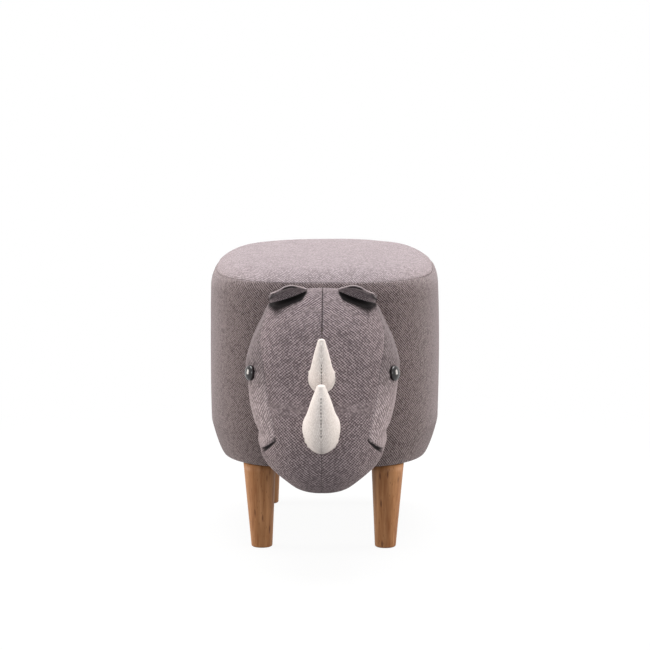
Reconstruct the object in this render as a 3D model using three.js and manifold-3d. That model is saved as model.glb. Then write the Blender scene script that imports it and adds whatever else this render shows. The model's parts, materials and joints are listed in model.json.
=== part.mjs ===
// Rhinoceros footstool: an upholstered box on four turned legs with a stuffed head on its front.
// Millimetres, +Z up, the head looks along -Y. Driving sizes come first, one value for each size.
import * as THREE from 'three';
import { mergeVertices } from 'three/addons/utils/BufferGeometryUtils.js';
import Module from 'manifold-3d';

const wasm = await Module();
wasm.setup();

// Clearances
const gap = 0.3; // between pieces that touch
const overrun = 6; // how far a cutting shape passes the wall that it cuts
const joinDistance = 0.003; // corners nearer than this are one corner

// Upholstered body, outside the fabric
const bodyWidth = 307;
const bodyLength = 410;
const bodyHeight = 268; // underside to the middle of the crown
const crownRise = 5;
const topRollRadius = 38;
const bottomRollHeight = 34;
const bottomRollInset = 18;
const planPower = 2.85; // roundness of the plan, 2 is an ellipse
const topSeamShare = 0.37; // place of the top seam on the quarter turn of the top roll

// Fabric, foam and boards of the body
const coverThickness = 1.6;
const hemWidth = 31; // turned under past the bottom roll
const dustThickness = 1;
const dustSetback = 3; // dust cover edge inside the bottom roll
const frameSetback = 1; // board edge inside the bottom roll
const wallThickness = 4;
const baseThickness = 15;
const topBoardThickness = 12;
const seatFoamThickness = 50;

// Posts between the boards
const postSide = 28;
const postTurnShare = 1 / 3; // place round each quarter of the plan
const screwRadius = 2;
const screwHeadRadius = 4;
const screwHeadHeight = 3;
const screwLength = 42;
const screwTipRadius = 0.5;

// Legs and their fixings
const legLength = 112;
const legTopRadius = 21.4;
const legFootRadius = 13.8;
const footEdgeRadius = 2.5;
const legTurnShare = 0.555;
const legNutClearance = 3.5; // nut flange to the wall
const legFootInset = 2.8; // foot nearer the middle than the top
const boltPlay = 0.5; // round a leg bolt in its nut and board
const boltRadius = 4;
const boltDepthInLeg = 28;
const boltStandout = 3; // above the nut flange
const nutFlangeRadius = 9;
const nutFlangeThickness = 1.5;
const nutBarrelWall = 1.2;
const nutBarrelLength = 9;

// Head batten, backing and the bolts through them
const battenWidth = 90;
const battenThickness = 16;
const backingWidth = 118;
const backingHeightShare = 0.84; // of the height between the boards
const backingThickness = 9;
const backingPower = 2.4;
const headBoltRadius = 3;
const headBoltCapRadius = 8;
const headBoltCapHeight = 4;
const headBoltHeightShares = [0.3, 0.7]; // of the height between the boards
const headNutRadius = 5.8;
const headNutThickness = 5;
const nutSides = 6;

// Stuffed head: tables run from its top to its chin in equal turns of the profile
const headWidthShare = 0.645; // of the body's width
const headHeight = 257;
const headReach = 148; // nose in front of the body
const headTopDrop = 24; // below the crown of the body
const headFrontPower = 2.5;
const headBackPower = 2;
const headWidthShares = [0, 0.42, 0.675, 0.8, 0.921, 1, 0.977, 0.917, 0.839, 0.72, 0.5, 0.285, 0];
const headFrontShares = [0.2, 0.36, 0.51, 0.66, 0.777, 0.872, 0.946, 0.993, 1, 0.953, 0.845, 0.7, 0.49];
const headCentreShares = [0.2, 0.21, 0.22, 0.23, 0.235, 0.24, 0.25, 0.27, 0.3, 0.35, 0.41, 0.46, 0.49];
const headBackShares = [0, 0.14, 0.25, 0.36, 0.45, 0.5, 0.5, 0.5, 0.5, 0.47, 0.36, 0.2, 0];

// Seam between face and cheek in the front view: shares of the half width and of the height
const cheekSeamShares = [
  [0.6, -0.2], [0.65, 0], [0.68, 0.06], [0.78, 0.18], [0.793, 0.25], [0.757, 0.333],
  [0.707, 0.44], [0.675, 0.54], [0.62, 0.61], [0.59, 0.704],
];
const jawSeamShares = [[0.765, 0.77], [0.745, 0.82], [0.63, 0.866], [0.42, 0.943], [0.24, 1], [0.24, 1.2]];

// Eyes and the washers that hold them
const eyeRadius = 9.8;
const eyeHeight = 6.5;
const eyeRim = 1.5;
const eyeDrop = 101.5; // below the top of the head
const eyeTurnShare = 0.33;
const eyeShankRadius = 2.4;
const eyeShankLength = 12;
const eyeWasherRadius = 8;
const eyeWasherThickness = 1.6;
const eyeWasherDepth = 3.5; // under the head's surface

// Ears: two layers each, sewn to the head along one edge
const earWidth = 19.4;
const earLayerThickness = 2.2;
const earBow = 3.5;
const earRoundness = 0.61; // power of the sine that gives its width
const earRootDepth = 4;
const earStartShare = 0.2; // of the half width of the head, at its inner end
const earEndShare = 0.69;
const earStartDrop = 2;
const earEndDrop = 18;
const earSag = 4; // of its sewn edge, halfway
const earRiseShare = 0.7; // upward part of the way that the ear points
const earSplayShare = 0.175; // sideways part
const earTipShare = 0.27; // width left at the ends

// Horns: panels of cream twill over stuffing, bent from forward to upward
const hornCloth = 1.5;
const frontHorn = { drop: 167, width: 47.5, depth: 57, reach: 38, rise: 63.5, root: 20, dip: 4 };
const rearHorn = { drop: 101, width: 34.5, depth: 36, reach: 26.5, rise: 51.5, root: 20, dip: 0 };
const frontHornTaperShares = [0.92, 0.95, 0.96, 1, 0.89, 0.72, 0.53, 0.25];
const rearHornTaperShares = [1, 0.98, 0.93, 0.86, 0.77, 0.65, 0.49, 0.26];
const hornTipShare = 0.5; // height of the rounded tip in its radius

// Tail on the back
const tailDrop = 105; // below the crown of the body
const tailLength = 118;
const tailWidth = 15;
const tailThickness = 6;
const tailTuftShare = 0.75; // where the tuft begins
const tailTuftWidth = 26;
const tailTuftThickness = 13;
const tailTuftEndShare = 0.92; // of the tuft's swell, where it is cut off round
const tailRootShares = [0.8, 0.03]; // of its standoff and its length, where it leaves the back
const tailBendShare = 0.25; // of its length, where it hangs straight

// Faceting
const planSteps = 36;
const rollSteps = 3;
const lowRollSteps = 2; // of the top roll, under its seam
const highRollSteps = 4; // over it
const crownSteps = 3;
const turnSteps = 12;
const edgeSteps = 3; // of a small rounded edge or cap
const domeSteps = 4;
const headTurns = 28;
const headLevels = 15;
const hornSteps = 8;
const earRows = 8;
const earColumns = 2;
const tailSteps = 13;

// Heights of the stack, from the floor up
const coverBottom = legLength + dustThickness + gap;
const baseBottom = coverBottom + coverThickness + gap;
const baseTop = baseBottom + baseThickness;
const bodyTop = legLength + bodyHeight;
const edgeTop = bodyTop - crownRise;
const seatFoamBottom = bodyTop - coverThickness - gap - seatFoamThickness;
const topBoardTop = seatFoamBottom - gap;
const topBoardBottom = topBoardTop - topBoardThickness;
const wallBottom = baseTop + gap;
const wallTop = topBoardBottom - gap;
const wallHeight = wallTop - wallBottom;

// Insets of the layers from the outside of the fabric
const foamInset = coverThickness + gap;
const frameInset = bottomRollInset + frameSetback;
const wallInset = frameInset + wallThickness;
const legInset = wallInset + nutFlangeRadius + legNutClearance;
const faceY = -bodyLength / 2;
const headWidth = bodyWidth * headWidthShare;

// Materials, coloured from the photograph
const fabricLook = () => new THREE.MeshStandardMaterial({ color: 0x8d7f7d, roughness: 0.95 });
const hornLook = () => new THREE.MeshStandardMaterial({ color: 0xddd2cb, roughness: 0.9 });
const foamLook = () => new THREE.MeshStandardMaterial({ color: 0xe6dfc8, roughness: 1 });
const fillLook = () => new THREE.MeshStandardMaterial({ color: 0xf2f2ef, roughness: 1 });
const boardLook = () => new THREE.MeshStandardMaterial({ color: 0xc9a877, roughness: 0.8 });
const beechLook = () => new THREE.MeshStandardMaterial({ color: 0xa27450, roughness: 0.5 });
const steelLook = () => new THREE.MeshStandardMaterial({ color: 0xb9bbbd, roughness: 0.35, metalness: 1 });
const dustLook = () => new THREE.MeshStandardMaterial({ color: 0x26262a, roughness: 1 });
const eyeLook = () => new THREE.MeshStandardMaterial({ color: 0x0c0b0c, roughness: 0.08 });

const stool = new THREE.Group();

function add(name, geometry, material) {
  const mesh = new THREE.Mesh(geometry, material);
  mesh.name = name;
  stool.add(mesh);
  return mesh;
}

// Solids and cuts

// Closed solid through rings of points; a ring of one point is a closed end
function loft(rings, joined = false) {
  const points = [];
  const starts = rings.map((ring) => points.push(...ring) - ring.length);
  const faces = [];
  const last = joined ? rings.length : rings.length - 1;
  for (let i = 0; i < last; i += 1) {
    const j = (i + 1) % rings.length;
    const count = Math.max(rings[i].length, rings[j].length);
    for (let k = 0; k < count; k += 1) {
      const next = (k + 1) % count;
      const a = starts[i] + (rings[i].length > 1 ? k : 0);
      const b = starts[i] + (rings[i].length > 1 ? next : 0);
      const c = starts[j] + (rings[j].length > 1 ? next : 0);
      const d = starts[j] + (rings[j].length > 1 ? k : 0);
      if (a !== b) faces.push(a, b, c);
      if (c !== d) faces.push(a, c, d);
    }
  }
  return facingOut(points, faces);
}

// Closed slab between two grids of points with the same rows and columns
function slab(front, back) {
  const rows = front.length;
  const columns = front[0].length;
  const points = [...front.flat(), ...back.flat()];
  const faces = [];
  const quad = (a, b, c, d) => faces.push(a, b, c, a, c, d);
  const far = rows * columns;
  for (let i = 0; i < rows - 1; i += 1) {
    for (let j = 0; j < columns - 1; j += 1) {
      const a = i * columns + j;
      const d = a + columns;
      quad(a, a + 1, d + 1, d);
      quad(far + a, far + d, far + d + 1, far + a + 1);
    }
  }
  const rim = [];
  for (let j = 0; j < columns; j += 1) rim.push(j);
  for (let i = 1; i < rows; i += 1) rim.push(i * columns + columns - 1);
  for (let j = columns - 2; j >= 0; j -= 1) rim.push((rows - 1) * columns + j);
  for (let i = rows - 2; i > 0; i -= 1) rim.push(i * columns);
  rim.forEach((a, k) => {
    const b = rim[(k + 1) % rim.length];
    quad(b, a, far + a, far + b);
  });
  return facingOut(points, faces);
}

// Geometry with its faces turned outwards
function facingOut(points, faces) {
  let volume = 0;
  const cross = new THREE.Vector3();
  for (let i = 0; i < faces.length; i += 3) {
    const [a, b, c] = [points[faces[i]], points[faces[i + 1]], points[faces[i + 2]]];
    volume += a.dot(cross.crossVectors(b, c));
  }
  if (volume < 0) faces.reverse();
  const geometry = new THREE.BufferGeometry();
  geometry.setAttribute('position', new THREE.Float32BufferAttribute(points.flatMap((p) => p.toArray()), 3));
  geometry.setIndex(faces);
  return geometry;
}

// The same surface with positions alone and its shared corners joined
function merged(geometry) {
  const bare = geometry.clone();
  bare.deleteAttribute('normal');
  bare.deleteAttribute('uv');
  return mergeVertices(bare, joinDistance);
}

function toSolid(geometry) {
  const { attributes, index } = merged(geometry);
  return new wasm.Manifold(new wasm.Mesh({
    numProp: 3,
    vertProperties: new Float32Array(attributes.position.array),
    triVerts: new Uint32Array(index.array),
  }));
}

function toGeometry(solid) {
  const mesh = solid.getMesh();
  const geometry = new THREE.BufferGeometry();
  geometry.setAttribute('position', new THREE.BufferAttribute(mesh.vertProperties, 3));
  geometry.setIndex(new THREE.BufferAttribute(mesh.triVerts, 1));
  return geometry;
}

function cut(geometry, tools) {
  return toGeometry(tools.reduce((solid, tool) => solid.subtract(toSolid(tool)), toSolid(geometry)));
}

function common(geometry, tool) {
  return toGeometry(toSolid(geometry).intersect(toSolid(tool)));
}

function moved(geometry, x, y, z) {
  return geometry.clone().translate(x, y, z);
}

// Mirror image across the middle plane, faces kept outwards
function mirrored(geometry) {
  const copy = merged(geometry).scale(-1, 1, 1);
  copy.index.array.reverse();
  return copy;
}

// Surface moved in along its normals
function shrunk(geometry, distance) {
  const copy = geometry.clone();
  copy.computeVertexNormals();
  const { position, normal } = copy.attributes;
  for (let i = 0; i < position.count; i += 1) {
    position.setXYZ(
      i,
      position.getX(i) - normal.getX(i) * distance,
      position.getY(i) - normal.getY(i) * distance,
      position.getZ(i) - normal.getZ(i) * distance,
    );
  }
  copy.deleteAttribute('normal');
  return copy;
}

// Turned piece on the Z axis from [radius, height] pairs
function turned(profile, steps = turnSteps) {
  const points = profile.map(([radius, height]) => new THREE.Vector2(radius, height));
  const { attributes, index } = merged(new THREE.LatheGeometry(points, steps).rotateX(Math.PI / 2));
  const { position } = attributes;
  const corners = Array.from({ length: position.count }, (_, i) => (
    new THREE.Vector3().fromBufferAttribute(position, i)
  ));
  const faces = [];
  for (let i = 0; i < index.count; i += 3) {
    const [a, b, c] = index.array.slice(i, i + 3);
    if (a !== b && b !== c && c !== a) faces.push(a, b, c);
  }
  return facingOut(corners, faces);
}

// Body plan and its layers

function planPoint(inset, angle) {
  const c = Math.cos(angle);
  const s = Math.sin(angle);
  const reach = (Math.abs(c) ** planPower + Math.abs(s) ** planPower) ** (-1 / planPower);
  const normal = new THREE.Vector2(
    (Math.sign(c) * Math.abs(reach * c) ** (planPower - 1)) / bodyWidth,
    (Math.sign(s) * Math.abs(reach * s) ** (planPower - 1)) / bodyLength,
  ).normalize();
  return new THREE.Vector2((bodyWidth / 2) * reach * c, (bodyLength / 2) * reach * s)
    .addScaledVector(normal, -inset);
}

function planRing({ inset = 0, share = 1, z }) {
  if (share === 0) return [new THREE.Vector3(0, 0, z)];
  return Array.from({ length: planSteps }, (_, k) => {
    const p = planPoint(inset, (k / planSteps) * 2 * Math.PI).multiplyScalar(share);
    return new THREE.Vector3(p.x, p.y, z);
  });
}

// How far from the middle the faceted plan lies in Y, at a distance x from the middle plane
function planDepth(inset, x) {
  const corners = planRing({ inset, z: 0 }).filter((p) => p.x >= 0 && p.y >= 0).sort((p, q) => p.x - q.x);
  const k = corners.findIndex((p) => p.x >= x);
  const [low, high] = [corners[Math.max(k - 1, 0)], corners[Math.max(k, 1)]];
  return THREE.MathUtils.mapLinear(x, low.x, high.x, low.y, high.y);
}

const planSolid = (profile) => loft(profile.map(planRing));
const planBand = (profile) => loft(profile.map(planRing), true);
const axis = (z) => ({ share: 0, z });
const plate = (inset, bottom, top) => planSolid([
  axis(bottom), { inset, z: bottom }, { inset, z: top }, axis(top),
]);

// Profile of the body from its underside to its side, some way inside the fabric's face
function bottomRoll(inward) {
  return Array.from({ length: rollSteps + 1 }, (_, k) => {
    const turn = (1 - k / rollSteps) * Math.PI / 2;
    return {
      inset: bottomRollInset - (bottomRollInset - inward) * Math.cos(turn),
      z: coverBottom + bottomRollHeight - (bottomRollHeight - inward) * Math.sin(turn),
    };
  });
}

// Profile of the top roll between two places on its quarter turn
function topRoll(inward, shares) {
  return shares.map((share) => {
    const turn = share * Math.PI / 2;
    return {
      inset: topRollRadius - (topRollRadius - inward) * Math.cos(turn),
      z: edgeTop - topRollRadius + (topRollRadius - inward) * Math.sin(turn),
    };
  });
}

const steps = (count, from, to) =>
  Array.from({ length: count + 1 }, (_, k) => from + ((to - from) * k) / count);
const underSeam = (inward) => topRoll(inward, steps(lowRollSteps, 0, topSeamShare));
const overSeam = (inward, lift = 0) => {
  const [first, ...rest] = steps(highRollSteps, topSeamShare, 1);
  return topRoll(inward, [first + lift, ...rest]);
};
const wholeRoll = (inward) => [...underSeam(inward), ...overSeam(inward).slice(1)];

// Profile of the crown from the top roll to the middle
function crown(inward) {
  return Array.from({ length: crownSteps }, (_, k) => {
    const share = 1 - (k + 1) / crownSteps;
    return { inset: topRollRadius, share, z: edgeTop - inward + crownRise * (1 - share ** 2) };
  });
}

const bodySolid = (inward) => planSolid([
  axis(coverBottom + inward), ...bottomRoll(inward), ...wholeRoll(inward), ...crown(inward),
]);

// Places round the plan

const quarters = [[1, -1, 'front_right'], [-1, -1, 'front_left'], [1, 1, 'rear_right'], [-1, 1, 'rear_left']];
const postInset = wallInset + gap + postSide * Math.SQRT1_2;
const postPlace = planPoint(postInset, postTurnShare * Math.PI / 2);
const legPlace = planPoint(legInset, legTurnShare * Math.PI / 2);

// Fixings

// Countersunk screw with its head down at height zero, grown by a clearance for its hole
function screw(clearance = 0) {
  const up = clearance ? -overrun : 0;
  const profile = [[0, up], [screwHeadRadius + clearance, up]];
  if (clearance) profile.push([screwHeadRadius + clearance, 0]);
  profile.push(
    [screwRadius + clearance, screwHeadHeight],
    [screwRadius + clearance, screwLength - screwHeadHeight],
    [clearance || screwTipRadius, screwLength + clearance],
    [0, screwLength + clearance],
  );
  return turned(profile, turnSteps / 2);
}

const legBoltLength = boltDepthInLeg + baseTop - legLength + nutFlangeThickness + gap + boltStandout;
const boltBottom = legLength - boltDepthInLeg;

// Leg bolt on the axis of its leg, heights from the floor
const legBolt = (clearance = 0) => turned([
  [0, boltBottom - clearance], [boltRadius + clearance, boltBottom - clearance],
  [boltRadius + clearance, boltBottom + legBoltLength + clearance],
  [0, boltBottom + legBoltLength + clearance],
]);

const barrelBore = boltRadius + boltPlay;
const barrelRadius = barrelBore + nutBarrelWall;

function teeNut() {
  const flange = [[barrelRadius, 0], [nutFlangeRadius, 0], [nutFlangeRadius, nutFlangeThickness]];
  const bore = [nutFlangeThickness, -nutBarrelLength].map((z) => [barrelBore, z]);
  return turned([...flange, ...bore, [barrelRadius, -nutBarrelLength], flange[0]]);
}

const barrelHole = () => turned([
  [0, baseBottom - overrun], [barrelRadius + gap, baseBottom - overrun],
  [barrelRadius + gap, baseTop + overrun], [0, baseTop + overrun],
]);

// Legs

function leg() {
  const bore = boltRadius + gap;
  const boreBottom = legLength - boltDepthInLeg - gap;
  const slope = (legTopRadius - legFootRadius) / legLength;
  const edge = Array.from({ length: edgeSteps + 1 }, (_, k) => {
    const turn = (k / edgeSteps) * Math.PI / 2;
    const height = footEdgeRadius * (1 - Math.sin(turn));
    return [legFootRadius + slope * height - footEdgeRadius * (1 - Math.cos(turn)), height];
  });
  return turned([
    [0, boreBottom], [bore, boreBottom], [bore, legLength], [legTopRadius, legLength], ...edge, [0, 0],
  ], turnSteps * 2);
}

// A leg and its bolt lean in towards the middle plane as they go down
function leaning(geometry, side) {
  const slope = (side * legFootInset) / legLength;
  return geometry.applyMatrix4(new THREE.Matrix4().set(
    1, 0, slope, side * legPlace.x - slope * legLength,
    0, 1, 0, 0,
    0, 0, 1, 0,
    0, 0, 0, 1,
  ));
}

const nutX = legPlace.x + (legFootInset * (baseTop - nutBarrelLength / 2 - legLength)) / legLength;
const nutPlaces = quarters.map(([sx, sy]) => [nutX * sx, legPlace.y * sy]);
const legBoltHoles = quarters.map(([sx, sy]) => moved(leaning(legBolt(boltPlay), sx), 0, legPlace.y * sy, 0));

quarters.forEach(([sx, sy, place], i) => {
  add(`leg_${place}`, leaning(leg(), sx), beechLook()).position.y = legPlace.y * sy;
  add(`leg_bolt_${place}`, leaning(legBolt(), sx), steelLook()).position.y = legPlace.y * sy;
  add(`tee_nut_${place}`, teeNut(), steelLook()).position.set(...nutPlaces[i], baseTop + gap);
});

// Posts and screws

const lowScrews = quarters.map(([sx, sy]) => [postPlace.x * sx, postPlace.y * sy]);
const lowHoles = lowScrews.map(([x, y]) => moved(screw(gap), x, y, baseBottom));
const highHoles = lowScrews.map(([x, y]) => moved(screw(gap).rotateX(Math.PI), x, y, topBoardTop));

quarters.forEach(([, , place], i) => {
  const [x, y] = lowScrews[i];
  const stick = new THREE.BoxGeometry(postSide, postSide, wallHeight);
  const post = moved(stick, x, y, wallBottom + wallHeight / 2);
  add(`post_${place}`, cut(post, [lowHoles[i], highHoles[i]]), boardLook());
  add(`base_screw_${place}`, screw(), steelLook()).position.set(x, y, baseBottom);
  const high = add(`top_screw_${place}`, screw(), steelLook());
  high.rotation.x = Math.PI;
  high.position.set(x, y, topBoardTop);
});

// Batten, backing and head bolts

const backingBack = faceY - gap;
const backingFront = backingBack - backingThickness;
const capUnder = backingFront - gap;
const battenFront = -planDepth(wallInset + gap, battenWidth / 2);
const battenBack = battenFront + battenThickness;
const headBoltEnd = battenBack + gap + headNutThickness + boltStandout;
const headBoltHeights = headBoltHeightShares.map((share) => wallBottom + wallHeight * share);

// Bolt with a domed cap, its axis along Y and its cap in front
function headBolt(clearance = 0) {
  const length = headBoltEnd - capUnder + clearance;
  const cap = Array.from({ length: edgeSteps + 1 }, (_, k) => {
    const turn = (k / edgeSteps) * Math.PI / 2;
    return [
      (headBoltCapRadius + clearance) * Math.sin(turn),
      -(headBoltCapHeight + clearance) * Math.cos(turn),
    ];
  });
  const profile = [
    ...cap, [headBoltCapRadius + clearance, clearance], [headBoltRadius + clearance, clearance],
    [headBoltRadius + clearance, length], [0, length],
  ];
  if (!clearance) profile.splice(cap.length, 1);
  return turned(profile).rotateX(-Math.PI / 2);
}

function headNut() {
  const bore = (headBoltRadius + gap) / Math.cos(Math.PI / nutSides);
  return turned([
    [bore, 0], [headNutRadius, 0], [headNutRadius, headNutThickness], [bore, headNutThickness], [bore, 0],
  ], nutSides).rotateX(-Math.PI / 2);
}

const headBoltHoles = headBoltHeights.map((z) => moved(headBolt(gap), 0, capUnder, z));

const batten = new THREE.BoxGeometry(battenWidth, battenThickness, wallHeight)
  .translate(0, battenFront + battenThickness / 2, wallBottom + wallHeight / 2);
add('head_batten', cut(batten, headBoltHoles), boardLook());

// Rounded plate outline, grown by a clearance, as a prism between two places in Y
function backingPrism(clearance, front, back) {
  const halfWidth = backingWidth / 2 + clearance;
  const halfHeight = (wallHeight * backingHeightShare) / 2 + clearance;
  const middle = wallBottom + wallHeight / 2;
  const outline = Array.from({ length: turnSteps * 2 }, (_, k) => {
    const angle = (k / (turnSteps * 2)) * 2 * Math.PI;
    const [c, s] = [Math.cos(angle), Math.sin(angle)];
    const reach = (Math.abs(c) ** backingPower + Math.abs(s) ** backingPower) ** (-1 / backingPower);
    return [halfWidth * reach * c, middle + halfHeight * reach * s];
  });
  return loft([
    [new THREE.Vector3(0, front, middle)],
    outline.map(([x, z]) => new THREE.Vector3(x, front, z)),
    outline.map(([x, z]) => new THREE.Vector3(x, back, z)),
    [new THREE.Vector3(0, back, middle)],
  ]);
}

add('head_backing', cut(backingPrism(0, backingFront, backingBack), headBoltHoles), boardLook());
['lower', 'upper'].forEach((place, i) => {
  add(`head_bolt_${place}`, headBolt(), steelLook()).position.set(0, capUnder, headBoltHeights[i]);
  add(`head_nut_${place}`, headNut(), steelLook()).position.set(0, battenBack + gap, headBoltHeights[i]);
});

// Boards, wall, foam and covers of the body

add('base_board', cut(plate(frameInset, baseBottom, baseTop), [
  ...nutPlaces.map(([x, y]) => moved(barrelHole(), x, y, 0)), ...lowHoles,
]), boardLook());
add('top_board', cut(plate(frameInset, topBoardBottom, topBoardTop), highHoles), boardLook());

const wall = planBand([
  { inset: frameInset, z: wallBottom }, { inset: frameInset, z: wallTop },
  { inset: wallInset, z: wallTop }, { inset: wallInset, z: wallBottom },
]);
add('wall_shell', cut(wall, headBoltHoles), boardLook());

const sideFoam = planBand([
  ...bottomRoll(foamInset), { inset: foamInset, z: topBoardTop },
  { inset: frameInset - gap, z: topBoardTop }, { inset: frameInset - gap, z: baseBottom },
]);
add('side_foam', cut(sideFoam, headBoltHoles), foamLook());

add('seat_foam', planSolid([
  axis(seatFoamBottom), { inset: foamInset, z: seatFoamBottom },
  ...wholeRoll(foamInset), ...crown(foamInset),
]), foamLook());

const seamGapShare = gap / (topRollRadius * Math.PI / 2);
const hemEdge = bottomRollInset + hemWidth;
const sideCover = planBand([
  { inset: hemEdge, z: coverBottom }, ...bottomRoll(0), ...underSeam(0),
  ...underSeam(coverThickness).reverse(), ...bottomRoll(coverThickness).reverse(),
  { inset: hemEdge, z: coverBottom + coverThickness },
]);
add('side_cover', cut(sideCover, [...headBoltHoles, ...legBoltHoles, ...lowHoles]), fabricLook());

add('top_cover', planSolid([
  ...crown(coverThickness).reverse(), ...overSeam(coverThickness, seamGapShare).reverse(),
  ...overSeam(0, seamGapShare), ...crown(0),
]), fabricLook());

add('dust_cover', cut(
  plate(bottomRollInset + dustSetback, legLength + gap, legLength + dustThickness),
  legBoltHoles,
), dustLook());

// Head

// Smooth value of a table at a place from 0 to 1
function tableAt(shares, place) {
  const last = shares.length - 1;
  const x = Math.min(Math.max(place, 0), 1) * last;
  const i = Math.min(Math.floor(x), last - 1);
  const f = x - i;
  const before = i > 0 ? shares[i - 1] : 2 * shares[0] - shares[1];
  const after = i + 2 <= last ? shares[i + 2] : 2 * shares[last] - shares[last - 1];
  const slopeIn = (shares[i + 1] - before) / 2;
  const slopeOut = (after - shares[i]) / 2;
  return shares[i] * (1 + 2 * f) * (1 - f) ** 2 + slopeIn * f * (1 - f) ** 2
    + shares[i + 1] * f ** 2 * (3 - 2 * f) - slopeOut * f ** 2 * (1 - f);
}

const headTop = bodyTop - headTopDrop;
const levelAt = (drop) => Math.acos(1 - (2 * Math.min(drop, headHeight)) / headHeight) / Math.PI;

// Point of the head: turn goes round it with the nose at a quarter turn, level from top to chin
function headPoint(turn, level) {
  const c = Math.cos(turn);
  const s = Math.sin(turn);
  const power = s > 0 ? headFrontPower : headBackPower;
  const reach = (Math.abs(c) ** power + Math.abs(s) ** power) ** (-1 / power);
  const centre = tableAt(headCentreShares, level);
  const depth = s > 0 ? tableAt(headFrontShares, level) - centre : tableAt(headBackShares, level);
  return new THREE.Vector3(
    (headWidth / 2) * tableAt(headWidthShares, level) * reach * c,
    faceY - headReach * (centre + depth * reach * s),
    headTop - (headHeight * (1 - Math.cos(Math.PI * level))) / 2,
  );
}

function headNormal(turn, level) {
  const step = joinDistance;
  const across = headPoint(turn + step, level).sub(headPoint(turn - step, level));
  const down = headPoint(turn, level + step).sub(headPoint(turn, level - step));
  return across.cross(down).normalize();
}

// Front of the head at a place in the front view
function headFrontAt(x, drop) {
  const level = levelAt(drop);
  const width = (headWidth / 2) * tableAt(headWidthShares, level);
  const side = Math.min(Math.abs(x) / width, 1) ** headFrontPower;
  const centre = tableAt(headCentreShares, level);
  const depth = tableAt(headFrontShares, level) - centre;
  const reach = centre + depth * (1 - side) ** (1 / headFrontPower);
  return new THREE.Vector3(x, faceY - headReach * reach, headTop - drop);
}

const headShape = loft(Array.from({ length: headLevels + 1 }, (_, i) => {
  const level = i / headLevels;
  if (i === 0 || i === headLevels) return [headPoint(0, level)];
  return Array.from({ length: headTurns }, (__, k) => headPoint((k / headTurns) * 2 * Math.PI, level));
}));
const grownHead = shrunk(headShape, -gap);
const grownBody = bodySolid(-gap);

// Eyes

const eyeLevel = levelAt(eyeDrop);
const eyeTurn = eyeTurnShare * Math.PI / 2;
const eyeNormal = headNormal(eyeTurn, eyeLevel);
const eyePlace = headPoint(eyeTurn, eyeLevel);

function eye(clearance = 0) {
  const dome = Array.from({ length: domeSteps }, (_, k) => {
    const turn = (k / domeSteps) * Math.PI / 2;
    return [eyeRadius * Math.cos(turn), eyeRim + (eyeHeight - eyeRim) * Math.sin(turn)];
  });
  return turned([
    [0, -eyeShankLength - clearance], [eyeShankRadius + clearance, -eyeShankLength - clearance],
    [eyeShankRadius + clearance, gap - clearance], [eyeRadius, gap - clearance], ...dome, [0, eyeHeight],
  ]);
}

function eyeWasher(clearance = 0) {
  const bore = clearance ? 0 : eyeShankRadius + gap;
  const low = -eyeWasherDepth - eyeWasherThickness - clearance;
  const high = -eyeWasherDepth + clearance;
  const outer = eyeWasherRadius + clearance;
  const profile = [[bore, low], [outer, low], [outer, high], [bore, high]];
  return turned(clearance ? profile : [...profile, profile[0]]);
}

function onEyeAxis(geometry) {
  const turn = new THREE.Quaternion().setFromUnitVectors(new THREE.Vector3(0, 0, 1), eyeNormal);
  return geometry.applyQuaternion(turn).translate(eyePlace.x, eyePlace.y, eyePlace.z);
}

const rightEye = onEyeAxis(eye());
const rightWasher = onEyeAxis(eyeWasher());
const eyeHoles = [onEyeAxis(eye(gap)), onEyeAxis(eyeWasher(gap))];
const bothEyeHoles = [...eyeHoles, ...eyeHoles.map(mirrored)];
add('eye_right', rightEye, eyeLook());
add('eye_left', mirrored(rightEye), eyeLook());
add('eye_washer_right', rightWasher, steelLook());
add('eye_washer_left', mirrored(rightWasher), steelLook());

// Head stuffing and panels

add('head_stuffing', cut(shrunk(headShape, coverThickness + gap), [
  grownBody, backingPrism(gap, backingFront - gap, faceY + overrun), ...headBoltHoles, ...bothEyeHoles,
]), fillLook());

const headSkin = cut(headShape, [shrunk(headShape, coverThickness), grownBody, ...bothEyeHoles]);

// Prism that holds the right face panel, its outer edge moved out by a clearance
function facePrism(clearance) {
  const curve = new THREE.SplineCurve(cheekSeamShares.map(([x, z]) => new THREE.Vector2(x, z)));
  const cheekSeam = curve.getPoints(cheekSeamShares.length * 2).map((p) => [p.x, p.y]);
  const shape = new THREE.Shape([...cheekSeam, ...jawSeamShares].map(([x, z]) => new THREE.Vector2(
    (headWidth / 2) * x + clearance,
    headTop - headHeight * z,
  )));
  shape.lineTo(gap / 2 - clearance, headTop - headHeight * jawSeamShares.at(-1)[1]);
  shape.lineTo(gap / 2 - clearance, headTop - headHeight * cheekSeamShares[0][1]);
  return new THREE.ExtrudeGeometry(shape, { depth: headReach * 2, bevelEnabled: false })
    .rotateX(Math.PI / 2).translate(0, faceY + headReach / 2, 0);
}

const rightHalf = new THREE.BoxGeometry(headWidth, bodyLength * 2, headHeight * 2)
  .translate(headWidth / 2 + gap / 2, faceY, headTop - headHeight / 2);
const sides = [['right', (geometry) => geometry], ['left', mirrored]];

sides.forEach(([side, turnTo]) => {
  add(`face_${side}`, common(headSkin, turnTo(facePrism(0))), fabricLook());
  add(`cheek_${side}`, cut(common(headSkin, turnTo(rightHalf)), [turnTo(facePrism(gap))]), fabricLook());
});

// Ears

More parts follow.
